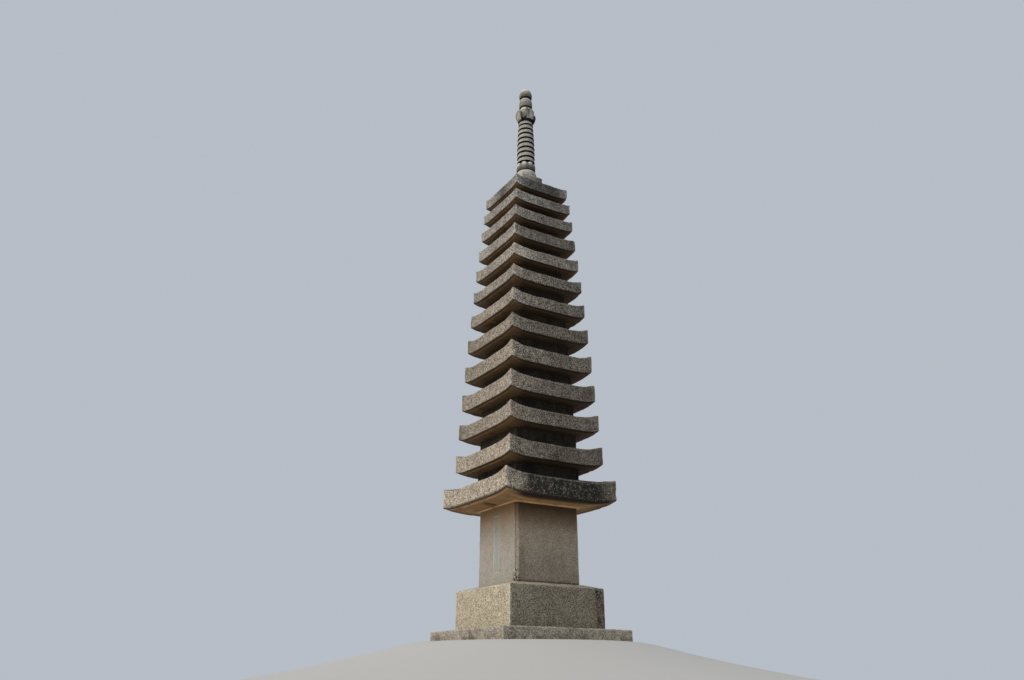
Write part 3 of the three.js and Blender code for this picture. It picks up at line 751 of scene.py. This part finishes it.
def eave_tone(roof, half, foot_z, top_z, points, normals):
    """Brightness of a roof's faces. Every face darkens upwards. The front is palest at the corner it
    shares with the left, the left fades to the back on roofs 3 to 6 and in its middle above roof 8.
    Some left faces are also duller at one end or at both."""
    x, y, z = points.T
    along_front, along_left = x / half, y / half
    front = 0.93 + 0.75 * np.exp(-(along_front + 1) / 0.35)
    front += 0.14 * bell(along_front, -0.68, 0.22) - 0.09 * bell(along_front, 0.33, 0.2)
    left = np.ones(len(points))
    if roof == ROOF_COUNT:
        left = 1.34 + 0.15 * along_left + 0.15 * along_left ** 2 - 0.85 * bell(along_left, -0.12, 0.35)
        front = 0.48 + 0.13 * ramp(along_front, 0.25, -0.25) + 0.8 * ramp(along_front, 0.5, 0.85)
        front += 1.5 * ramp(along_front, -0.35, -0.9) ** 1.5
    elif roof > 8:
        left = 0.88 + 0.27 * along_left ** 2
    elif 3 <= roof <= 6:
        left = 1.08 - 0.12 * (along_left + 1)
    elif roof == 1:
        front = 1 + 1.3 * np.exp(-(along_front + 1) / 0.2)
    near_loss, far_loss = DULL_ENDS.get(roof, (0, 0))
    left = left * (1 - near_loss * np.exp(-(along_left + 1) / 0.1))
    left = left * (1 - far_loss * np.exp((along_left - 1) / 0.1))
    patches = 0.22 * value_noise(points, 0.3, 41 + roof) + 0.1 * value_noise(points, 0.1, 61 + roof)
    faces = [LEFT_TONES[roof - 1] * left, FRONT_TONES[roof - 1] * front * (1 + patches), 0.95, 0.85]
    weights = facings(normals) ** 4
    side = sum(weight * face for weight, face in zip(weights, faces)) + 1e-6
    tone = side / (weights.sum(axis=0) + 1e-6)
    upright = bounded(1 - np.abs(normals[:, 2])) ** 0.5
    return 1 + upright * (tone * (1.08 - 0.17 * ramp(z, foot_z, top_z)) - 1)


for roof in range(1, ROOF_COUNT + 1):
    corners, half = roof_corners(roof)
    rows, row_gap = worn_profile(corners, ROOF_ROUNDING, ROOF_PITCH)
    plan = square_plan(half, ROOF_ROUNDING, ROOF_PITCH)
    grid, gap = sweep(rows, row_gap, plan, ROOF_ROUNDING)
    top_z = corners[-4][1] + corners[-4][2]
    foot_z = corners[0][1]
    edge_z, edge_sag = corners[-5][1:3]
    lower_seat = corners[1][0]

    def roof_layers(points, normals):
        """Algae, crusts and pits lie on the upright faces, and the soffit's tint below them. The soffit
        is
        painted with shade: little under the left eave, much under the front one but for its left end,
        and half as much under the others. On the lowest roof painted light brightens the soffit, its
        ledge and the seat's edge. A painted shadow band at the eave's foot stands in for a recess, and
        painted shade darkens the crease at the seat's edge on the higher roofs and the inside of the
        hole."""
        x, y, z = points.T
        front, back = facings(normals)[1::2]
        up = bounded(normals[:, 2])
        reach = np.maximum(np.maximum(np.abs(x), np.abs(y)), 1e-6)
        above_edge = z - edge_z - edge_sag * (np.minimum(np.abs(x), np.abs(y)) / reach) ** 5
        below = ramp(above_edge, 0.01, 0)
        deep = ramp(reach / half, 1, 0.7)
        ledge = ramp(reach / half, 0.93, 0.94)
        # A painted shadow band at the foot of the eave face stands in for a recess below it.
        over_recess_shadow = np.maximum(above_edge - RECESS_SHADOW_HEIGHTS.get(roof, 0), 0)
        recess_shadow = (0.95 if roof in (1, 8) else 0.85) * bell(over_recess_shadow, 0, 0.014)
        recess_shadow = recess_shadow * ramp(reach / half, 0.975, 0.985)
        seat_edge = ramp(reach, lower_seat + 0.006, lower_seat)
        # Painted shade on the soffit: little on the left side, towards the lamp, much under the front
        # eave but for its left end.
        front_shaded = ramp(x / reach, -1, -0.7)
        shaded_side = np.where(-x > np.abs(y), 0.0, np.where(-y > np.abs(x), front_shaded, 0.5))
        painted_light = 0
        if roof == 1:
            dark_stretch = ramp(x, -0.9, -0.7) - 0.55 * ramp(x, 0.6, 1.0)
            algae = front * (0.3 + 0.8 * dark_stretch + 0.2 * value_noise(points, 0.3, 31))
            crust = front * (0.66 - 0.2 * bounded(dark_stretch))
            growth = 0.35 * back
            shade_and_dirt = 0.03 + shaded_side * bounded(1.5 - 1.6 * deep)
            # Painted light on the lowest roof's soffit, with painted highlights on the ledge and the
            # seat's edge.
            painted_light = 0.22 * deep + 0.38 * shaded_side * bounded(2 * deep - 0.5)
            painted_light += 0.5 * ledge * (1 - shaded_side) + 0.6 * seat_edge
            scars = sum(
                darkness * bell(np.hypot(x - at_x, y - at_y), 0, size)
                for at_x, at_y, size, darkness in SCARS
            )
            # The hole's inside is painted dark as shade.
            hole = bell(np.hypot(y - HOLE_Y, z - foot_z - HOLE_RISE), 0, HOLE_SHADE_RADIUS)
            marks = np.maximum(scars * below, hole * (x < 0.04 - half))
        else:
            algae = 0.27 * front + 0.2 * value_noise(points, 0.4, 32) * (front + back)
            crust = 0.75 * front
            growth = np.zeros(len(points))
            # Painted shade on the higher roofs' soffits, less on the lamp's side and more on the shaded
            # side, with the ledge set apart.
            lit_side_shade = 0.1 + 0.25 * deep + min(0.12 * (roof - 2), 0.3)
            lit_side_shade += (0.5 - lit_side_shade) * ledge
            dark_side_shade = 0.78 + 0.06 * deep
            dark_side_shade += (0.97 - dark_side_shade) * ledge
            shade_and_dirt = lit_side_shade + (dark_side_shade - lit_side_shade) * shaded_side
            # Painted shade in the crease where the roof rests on the block beneath it.
            marks = 0.75 * below * seat_edge
        shade_and_dirt = np.maximum.reduce([below * shade_and_dirt, marks, recess_shadow])
        if roof >= 12:
            left_end = bounded(-x / half) * ramp(y / half, 0.45, 0.75)
            growth = (0.65 if roof == ROOF_COUNT else 0.3) * left_end * (1 - below)
        return {
            "runs": bounded(0.2 + 0.34 * front + 0.25 * back + 0.5 * up),
            "soffit": below,
            "shade_and_dirt": np.clip(shade_and_dirt, 0, 0.97),
            "algae": bounded(algae + 0.6 * up) * (1 - below),
            "crust": bounded(crust * (1 - below) + 0.25 * up),
            "pocks": 0.72 * front * (1 - below),
            "growth": bounded(growth + 0.2 * up),
            "vivid": 1 + (np.interp(roof, [5, 13], [1.05, 0.6]) - 1) * (1 - below),
            "tone": eave_tone(roof, half, foot_z, top_z, points, normals) * (1 + below * painted_light),
        }

    bites = []
    if roof in TOP_CORNER_CHIPS:
        (side_x, side_y), radius, sink = TOP_CORNER_CHIPS[roof]
        bites = [((side_x * half, side_y * half, top_z), radius, sink)]
    if roof == 1:
        bites = [((-half, HOLE_Y, foot_z + HOLE_RISE), HOLE_RADIUS, HOLE_SINK)]
        bites += [((x, y, foot_z + SCAR_RISE), size, SCAR_SINK) for x, y, size, darkness in SCARS]
    piece = swept_stone(
        f"stone_roof_{roof:02d}", grid, gap, rows[:, 3], 200 + 10 * roof, ROOF_SKIN, ROOF_CHIP,
        roof_layers, roof_finish, bites,
    )
    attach(piece, "root")
    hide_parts(f"roof_{roof:02d}")

# Storey blocks
# Twelve low square blocks that carry the roofs above the first, rough-picked granite left undressed.
# They are coloured very dark as painted shade for the shadow under the eaves, and their fronts are
# painted darker still.

BLOCK_ROUNDING, BLOCK_PITCH, BLOCK_CHIP = 0.012, 0.03, 0.014
BLOCK_SKIN = ((0.3, 0.004), (0.08, 0.003))
BLOCK_BED = 0.02

# Very dark colours and a dark coat: painted shade under the eaves.
block_finish = stone_finish(
    "storey_block_granite",
    ((66, 59, 50), (92, 84, 72), (40, 35, 29), 60.0, 10.0, 0.7),
    [
        tint_coat((34, 30, 25), 3.2, 0.6, 0.25, 0.8, (1, 1, 0.5)),
        tint_coat((78, 67, 52), 5.0, 0.42, 0.2, 0.6),
        wear_coat((104, 96, 84), 0.3),
    ],
    relief=0.005,
)

for roof in range(2, ROOF_COUNT + 1):
    node = f"storey_block_{roof:02d}"
    low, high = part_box(node)
    points, normals, gap, quads = box_lattice(low, high, BLOCK_PITCH, BLOCK_ROUNDING)
    free = ramp(np.minimum(points[:, 2] - low[2], high[2] - points[:, 2]), 0, BLOCK_BED)
    points = hewn(points, normals, gap, free, 400 + 10 * roof, BLOCK_SKIN, BLOCK_CHIP)
    # The fronts are painted darker, as shade.
    layers = {"arris": bell(gap, 0, WEAR_REACH), "tone": 0.95 - 0.3 * facings(normals)[1]}
    block = stone_object(f"stone_{node}", points, quads, NO_FANS, layers, block_finish)
    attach(block, "root")
    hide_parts(node)

# Finial
# Seven small granite stones threaded one above the other: a square dew basin, an inverted bowl, a
# collar of lotus petals, a shaft of nine rings, a knob with four fins, a drum and a round jewel.

FINIAL_SKIN, FINIAL_CHIP = ((0.14, 0.002), (0.05, 0.0014), (0.022, 0.0008)), 0.008
TURNED_COLUMNS, LOTUS_COLUMNS, KNOB_COLUMNS = 96, 160, 240
TURNED_PITCH, LOTUS_PITCH, KNOB_PITCH = 0.012, 0.009, 0.01
BASIN_HALF, BASIN_TAPER, BASIN_BEVEL = 0.272, 0.008, 0.016
BASIN_ROUNDING, BASIN_PITCH = 0.012, 0.014
BOWL_FOOT_RADIUS, BOWL_TOP_RADIUS = 0.246, 0.203
LOTUS_FOOT, LOTUS_BELLY, LOTUS_RIM = 0.206, 0.219, 0.214
PETALS, PETAL_DEPTH, PETAL_NOTCH = 8, 0.09, 0.04
RING_COUNT, RING_PITCH, RING_LEAN = 9, 0.132, 0.015
LOWEST_GROOVE, GROOVE_HEIGHT, GROOVE_DEPTH = 10.553, 0.034, 0.032
LOWEST_RING, TOP_RING, RING_TAPER_POWER = 0.209, 0.175, 2.6
KNOB_CORE_FOOT, KNOB_NECK, FINS = 0.126, 0.15, 4
FIN_SHARES = (0, 0.12, 0.25, 0.4, 0.6, 0.72, 0.77, 0.8, 1)
FIN_RADII = (0.162, 0.203, 0.23, 0.243, 0.24, 0.228, 0.222, 0.146, 0.132)
FIN_SIDES, FIN_TOP_SIDES, FIN_SHOULDER = (0.5, 0.84), (0, 0.25), (0.58, 0.8)
DRUM_FOOT, DRUM_BELLY, DRUM_TOP = 0.14, 0.157, 0.126
JEWEL_FOOT, JEWEL_BELLY, JEWEL_BELLY_SHARE = 0.118, 0.156, 0.3

finial_finish = stone_finish(
    "finial_granite",
    ((152, 147, 134), (188, 184, 172), (94, 90, 80), 80.0, 16.0, 0.7),
    [
        tint_coat((104, 102, 80), 6.0, 0.5, 0.25, 0.6, (1, 1, 0.35)),
        # Painted sky light: a pale coat on tops and lit sides.
        tint_coat((214, 213, 206), 14.0, 0.9, 0.4, "painted_sky_light"),
        # The dark coat is painted shade on undersides, in grooves, hollows and clefts, with some dirt
        # on the knob.
        tint_coat((18, 17, 14), 9.0, 1.0, 0.4, "shade_and_dirt"),
        fleck_coat((150, 152, 118), 34.0, 1.0, "growth"),
        wear_coat((196, 192, 180), 0.6),
    ],
    relief=0.003,
)


def circle(columns):
    """The angles of evenly spaced columns round the axis, and the cosine and sine of each."""
    angle = np.arange(columns) * 2 * np.pi / columns
    return angle, np.stack([np.cos(angle), np.sin(angle)], axis=1)


def levels(node):
    """The heights of a node's foot and top."""
    low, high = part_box(node)
    return low[2], high[2]


def outline(node, side, end_free=0):
    """A node's profile: from the axis to side, (radius, share of the height) pairs, and back."""
    foot, top = levels(node)
    side = [(radius, foot + share * (top - foot), 0, 1) for radius, share in side]
    return [(0, foot, 0, 0), *side, (0, top, 0, end_free)]


def height_share(rows):
    """How far up each row of a profile lies, from 0 at its foot to 1 at its top, as a column."""
    height = rows[:, 1:2]
    return (height - height.min()) / (height.max() - height.min())


def turned(corners, rounding, pitch=TURNED_PITCH, columns=TURNED_COLUMNS, swell=None):
    """A worn profile turned about the axis, each radius times 1 + swell(angle, share of the height).
    Returns the rows, the grid of points and the grid of distances to the nearest arris."""
    rows, row_gap = worn_profile(corners, rounding, pitch)
    angle, offset = circle(columns)
    change = swell(angle, height_share(rows)) if swell else np.zeros(columns)
    radius = rows[:, :1] * (1 + change)
    grid = np.dstack([radius[..., None] * offset, np.broadcast_to(rows[:, 1:2], radius.shape)])
    return rows, grid, np.broadcast_to(row_gap[:, None], radius.shape)


def add_finial_stone(node, rows, grid, gap, seed, shaded=None, pale=None, tone=1.0, shade=0.75):
    """Builds one stone of the finial. The first of the two functions of points and height share says
    where painted shade lies beyond the undersides, and the second where painted sky light brightens the
    stone.
    tone is a number or such a function, and shade is how much darker than that the +X side is, as
    painted shade away from the lamp."""
    foot, top = levels(node)

    def finial_layers(points, normals):
        """Painted shade lies on undersides, painted sky light on tops, and lichen in broad patches of
        noise.
        The tone falls towards +X as painted shade.
        """
        share = (points[:, 2] - foot) / (top - foot)
        darkening = shaded(points, share) if shaded else 0
        sky_light = pale(points, share) if pale else 0
        light = tone(points, share) if callable(tone) else tone
        # shade_and_dirt holds painted shade; the tone's drop towards +X is painted shade too.
        return {
            "shade_and_dirt": bounded(darkening + bounded(-2.5 * normals[:, 2] - 0.9)),
            "painted_sky_light": bounded(sky_light + 0.4 * bounded(normals[:, 2])),
            "growth": bounded(0.35 * value_noise(points, 0.2, 91) + 0.1),
            "tone": np.maximum(light - shade * bounded(normals[:, 0]), 0.35),
        }

    piece = swept_stone(
        f"stone_{node}", grid, gap, rows[:, 3], seed, FINIAL_SKIN, FINIAL_CHIP,
        finial_layers, finial_finish,
    )
    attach(piece, "root")
    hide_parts(node)


def basin_tone(points, share):
    """The basin darkens evenly from left to right, as painted shade away from the lamp."""
    return np.clip(0.9 - 2 * points[:, 0], 0.45, 1.15)


foot, top = levels("dew_basin")
basin_corners = [
    (0, foot, 0, 0),
    (BASIN_HALF - BASIN_TAPER, foot, 0, 1),
    (BASIN_HALF, top - BASIN_BEVEL, 0, 1),
    (BASIN_HALF - BASIN_BEVEL, top, 0, 1),
    (0, top, 0, 0),
]
rows, row_gap = worn_profile(basin_corners, rounding=0.01, pitch=BASIN_PITCH)
plan = square_plan(BASIN_HALF, BASIN_ROUNDING, BASIN_PITCH)
grid, gap = sweep(rows, row_gap, plan, BASIN_ROUNDING)
add_finial_stone("dew_basin", rows, grid, gap, 601, tone=basin_tone, shade=0.2)

turn = np.linspace(0, np.pi / 2, 12)
bowl_radius = BOWL_TOP_RADIUS + (BOWL_FOOT_RADIUS - BOWL_TOP_RADIUS) * np.cos(turn)
bowl_corners = outline("inverted_bowl", zip(bowl_radius, np.sin(turn)))
rows, grid, gap = turned(bowl_corners, rounding=0.008)
# Painted shade at the bowl's top under the lotus collar, and painted sky light growing upwards.
add_finial_stone(
    "inverted_bowl", rows, grid, gap, 611,
    lambda points, share: 5 * (share - 0.93), lambda points, share: 0.5 * share,
    tone=0.95, shade=0.45,
)


def between(angle, count):
    """0 in the middle of each of count parts round the axis and 1 half-way between two of them, by
    half of 1 - cos(count * angle)."""
    return 0.5 - 0.5 * np.cos(count * angle)


def angle_of(points):
    """The angle of points round the axis."""
    return np.arctan2(points[:, 1], points[:, 0])


def petal_swell(angle, share):
    """The clefts between the petals get deeper upwards."""
    return -PETAL_DEPTH * share ** 1.4 * between(angle, PETALS) ** 3


def lotus_shade(points, share):
    """Painted shade fades up the petals, but stays in the clefts, and is thickest at the foot."""
    cleft = between(angle_of(points), PETALS) ** 2
    return bounded(0.95 - 1.2 * share) + 0.5 * cleft * share + ramp(share, 0.12, 0)


def lotus_sky_light(points, share):
    """The tips of the petals get painted sky light, in small patches."""
    cleft = between(angle_of(points), PETALS) ** 2
    patches = np.clip(1.1 + 0.9 * value_noise(points, 0.035, 95), 0.3, 1)
    return ramp(share, 0.55, 0.8) * (1 - cleft) * patches


lotus_side = [
    (LOTUS_FOOT, 0), (LOTUS_BELLY, 0.3), (LOTUS_BELLY, 0.65), (LOTUS_RIM, 1), (0.86 * LOTUS_RIM, 1)
]
rows, grid, gap = turned(
    outline("lotus_collar", lotus_side), rounding=0.01, pitch=LOTUS_PITCH,
    columns=LOTUS_COLUMNS, swell=petal_swell,
)
outer = np.hypot(grid[..., 0], grid[..., 1]) > 0.8 * LOTUS_RIM
notch = between(circle(LOTUS_COLUMNS)[0], PETALS) ** 2 * height_share(rows) ** 4
grid[..., 2] -= PETAL_NOTCH * notch * outer
add_finial_stone("lotus_collar", rows, grid, gap, 621, lotus_shade, lotus_sky_light)


def groove_shade(points, share):
    """1 in the grooves, which lie one pitch apart, and 0 on the rings between them. It paints shade in
    the grooves.
    """
    pitches = (points[:, 2] - LOWEST_GROOVE) / RING_PITCH
    return np.abs(pitches - np.round(pitches)) * RING_PITCH < GROOVE_HEIGHT / 2 + 0.007


foot, top = levels("ring_shaft")
shaft_corners = [(0, foot, 0, 0)]
for ring in range(RING_COUNT):
    taper = (ring / (RING_COUNT - 1)) ** RING_TAPER_POWER
    radius = LOWEST_RING + (TOP_RING - LOWEST_RING) * taper
    groove = LOWEST_GROOVE + ring * RING_PITCH
    groove_foot = foot if ring == 0 else groove - GROOVE_HEIGHT / 2
    ring_foot = groove + GROOVE_HEIGHT / 2
    ring_top = top if ring == RING_COUNT - 1 else ring_foot + RING_PITCH - GROOVE_HEIGHT
    shaft_corners += [
        (radius - GROOVE_DEPTH, groove_foot, 0, 1),
        (radius - GROOVE_DEPTH, ring_foot, 0, 1),
        (radius, ring_foot, 0, 1),
        (radius - RING_LEAN, ring_top, 0, 1),
    ]
rows, grid, gap = turned([*shaft_corners, (0, top, 0, 0)], rounding=0.009)
add_finial_stone("ring_shaft", rows, grid, gap, 631, groove_shade, shade=0.45)


def smooth_step(value, low, high):
    """0 up to low, 1 from high on, and eased at both ends in between, as 3 t^2 - 2 t^3."""
    step = ramp(value, low, high)
    return step * step * (3 - 2 * step)


def knob_hollow(angle, share):
    """0 on a fin and 1 between two. Over the shoulder the two ends of the smooth step between them
    move towards the middle of the fin, which gives the fin an arched top."""
    shoulder = smooth_step(share, *FIN_SHOULDER)
    first = FIN_SIDES[0] + (FIN_TOP_SIDES[0] - FIN_SIDES[0]) * shoulder
    last = FIN_SIDES[1] + (FIN_TOP_SIDES[1] - FIN_SIDES[1]) * shoulder
    return smooth_step(between(angle, FINS), first, last)


def knob_swell(angle, share):
    """Takes the fins' radius back to the core, which widens upwards to the neck, between the fins."""
    fins = np.interp(share, FIN_SHARES, FIN_RADII)
    core = np.minimum(fins, KNOB_CORE_FOOT + (KNOB_NECK - KNOB_CORE_FOOT) * share)
    return knob_hollow(angle, share) * (core / fins - 1)


def knob_shade_and_dirt(points, share):
    """Painted shade, with some dirt, lies in the hollows, thickest at their feet and up one flank, and
    under the fins, whose faces are kept free of it down to there as painted light."""
    angle = angle_of(points)
    quarter = np.mod(angle, np.pi / 2)
    wall = bounded(knob_hollow(angle, share) / 0.15)
    foot_dirt_and_shade = (0.4 + 0.6 * smooth_step(quarter, 0.5, 1.0)) * ramp(share, 0.7, 0.25)
    foot_dirt_and_shade += 0.7 * ramp(share, 0.33, 0.21)
    flank_darkening = 0.62 * smooth_step(quarter, 0.95, 1.2) * (1 - smooth_step(quarter, 1.38, 1.5))
    under = 0.06 + 0.08 * np.abs(np.sin(angle))
    lit_fin = (1 - wall) * ramp(share, under, under + 0.05) * (share < 0.5)
    hidden = wall * foot_dirt_and_shade + ramp(share, under, under - 0.05) - lit_fin
    return np.maximum(hidden, flank_darkening * smooth_step(share, 0.1, 0.3))


def knob_sky_light(points, share):
    """Painted sky light lies on the neck above the fins, on its lit left side, and on the middles of
    two fins.
    """
    facing = -points[:, :2] / np.hypot(points[:, 0], points[:, 1])[:, None]
    neck = 0.6 * ramp(share, 0.74, 0.88) * bounded(1.7 * facing[:, 0] - 0.3)
    on_fin = ramp(knob_hollow(angle_of(points), share), 0.1, 0)
    middle = on_fin * bell(share, 0.34, 0.2)
    return neck + middle * (bounded(facing) ** 2 @ [0.1, 0.45])


def knob_tone(points, share):
    """Painted light makes the fins a little paler towards their feet, and painted shade makes the +X
    fin darker than the others.
    """
    on_fin = smooth_step(np.hypot(points[:, 0], points[:, 1]), 0.16, 0.19)
    fin_tone = (0.45 * ramp(share, 0.4, 0.15) - 0.2) * on_fin
    return 1.05 + fin_tone - 0.5 * smooth_step(points[:, 0], 0.1, 0.16)


rows, grid, gap = turned(
    outline("four_fin_knob", zip(FIN_RADII, FIN_SHARES)), rounding=0.014, pitch=KNOB_PITCH,
    columns=KNOB_COLUMNS, swell=knob_swell,
)
hollow = knob_hollow(circle(KNOB_COLUMNS)[0], height_share(rows))
fin_edge = np.where((hollow > 0) & (hollow < 0.35), 0.004, 0.1)
gap = np.minimum(gap + 0.1 * (hollow > 0.35), fin_edge)
add_finial_stone(
    "four_fin_knob", rows, grid, gap, 641, knob_shade_and_dirt, knob_sky_light, tone=knob_tone, shade=0.9
)

drum_waist = (DRUM_BELLY + DRUM_TOP) / 2
drum_side = [
    (DRUM_FOOT, 0), (DRUM_BELLY, 0.16), (DRUM_BELLY, 0.62), (drum_waist, 0.88), (DRUM_TOP, 1)
]
rows, grid, gap = turned(outline("finial_drum", drum_side), rounding=0.024)
# Painted shade on the drum's lower part, and painted sky light on its top.
add_finial_stone(
    "finial_drum", rows, grid, gap, 651, lambda points, share: np.clip(1.1 - 4 * share, 0.1, 1),
    lambda points, share: np.clip((share - 0.7) / 0.3, 0, 0.5), tone=0.87,
)

turn = np.linspace(0, np.pi / 2, 14)[:-1]
jewel_dome = JEWEL_BELLY_SHARE + (1 - JEWEL_BELLY_SHARE) * np.sin(turn)
jewel_side = [
    (JEWEL_FOOT, 0), (0.93 * JEWEL_BELLY, JEWEL_BELLY_SHARE / 3),
    *zip(JEWEL_BELLY * np.cos(turn), jewel_dome),
]
rows, grid, gap = turned(outline("finial_jewel", jewel_side, end_free=1), rounding=0.012)
no_arris = np.ones(gap.shape)
# Painted shade on the jewel's lower part, and painted sky light on its top.
add_finial_stone(
    "finial_jewel", rows, grid, no_arris, 661,
    lambda points, share: bounded(0.95 - 1.7 * share),
    lambda points, share: ramp(share, 0.5, 0.85),
)

# Floor
# A plain pale mound: level under the pagoda, then falling away evenly, so that the camera, which
# looks up from below the level of the step, still stands above it.

FLAT_RADIUS, FLOOR_RADIUS, FLOOR_DROP = 2.05, 400.0, 2.6
FLOOR_COLUMNS, FLAT_RINGS, SLOPE_RINGS = 144, 7, 90

flat_radii = np.linspace(0, FLAT_RADIUS, FLAT_RINGS + 1)[1:]
slope_radii = np.geomspace(FLAT_RADIUS + 0.05, FLOOR_RADIUS, SLOPE_RINGS)
radius = np.concatenate([flat_radii, slope_radii])
away = np.maximum(radius - FLAT_RADIUS, 0)
level = -FLOOR_DROP * (1 - np.exp(-0.09 * away)) * (1 - np.exp(-3.0 * away))
flat = radius[:, None, None] * circle(FLOOR_COLUMNS)[1]
rings = np.dstack([flat, np.broadcast_to(level[:, None], flat.shape[:2])])
floor_points = np.concatenate([rings.reshape(-1, 3), [[0, 0, 0]]])
order = np.arange(len(radius) * FLOOR_COLUMNS).reshape(len(radius), FLOOR_COLUMNS)
after = np.roll(order, -1, axis=1)
floor_quads = np.stack([order[:-1], order[1:], after[1:], after[:-1]], axis=-1).reshape(-1, 4)
centre = np.full(FLOOR_COLUMNS, len(floor_points) - 1)
floor_fans = np.stack([centre, order[0], after[0]], axis=1)

floor_finish = bpy.data.materials.new("pale_floor")
floor_finish.use_nodes = True
tree = floor_finish.node_tree
feed(tree, tree.nodes["Principled BSDF"], {"Base Color": rgb(182, 180, 176), "Roughness": 0.95})
floor = stone_object("floor", floor_points, floor_quads, floor_fans, {}, floor_finish)

# Light
# One broad soft lamp far off to the left, and a pale even sky.

LAMP_DIRECTION = Vector((0.9, 0.06, -0.68))

sky = bpy.data.worlds.new("pale_sky")
sky.use_nodes = True
tree = sky.node_tree
feed(tree, tree.nodes["Background"], {"Color": rgb(214, 222, 232), "Strength": 0.7})
bpy.context.scene.world = sky
bpy.context.scene.view_settings.view_transform = "Standard"

key = bpy.data.lights.new("key_lamp", "SUN")
key.energy = 2.4
key.angle = math.radians(50)
key.color = (1.0, 0.95, 0.88)
key_lamp = bpy.data.objects.new("key_lamp", key)
bpy.context.collection.objects.link(key_lamp)
key_lamp.rotation_euler = LAMP_DIRECTION.to_track_quat("-Z", "Y").to_euler()

# Camera
# It stands at the photograph's place, in front and to the left of the pagoda, and looks up at it.

CAMERA_PLACE = Vector((-8.785, -13.93, -0.596))
CAMERA_YAW, CAMERA_PITCH, CAMERA_ROLL = (math.radians(turn) for turn in (-31.12, 22.205, 0.08))

aim = Vector((
    -math.sin(CAMERA_YAW) * math.cos(CAMERA_PITCH),
    math.cos(CAMERA_YAW) * math.cos(CAMERA_PITCH),
    math.sin(CAMERA_PITCH),
))
right = Vector((math.cos(CAMERA_YAW), math.sin(CAMERA_YAW), 0))
facing = Matrix((right, right.cross(aim), -aim)).transposed()
camera_data = bpy.data.cameras.new("camera")
camera_data.lens = 29.14
camera_data.sensor_width = 36
camera_data.clip_end = 1000
camera = bpy.data.objects.new("camera", camera_data)
bpy.context.collection.objects.link(camera)
camera.location = CAMERA_PLACE
camera.rotation_euler = (facing @ Matrix.Rotation(CAMERA_ROLL, 3, "Z")).to_euler()
bpy.context.scene.camera = camera
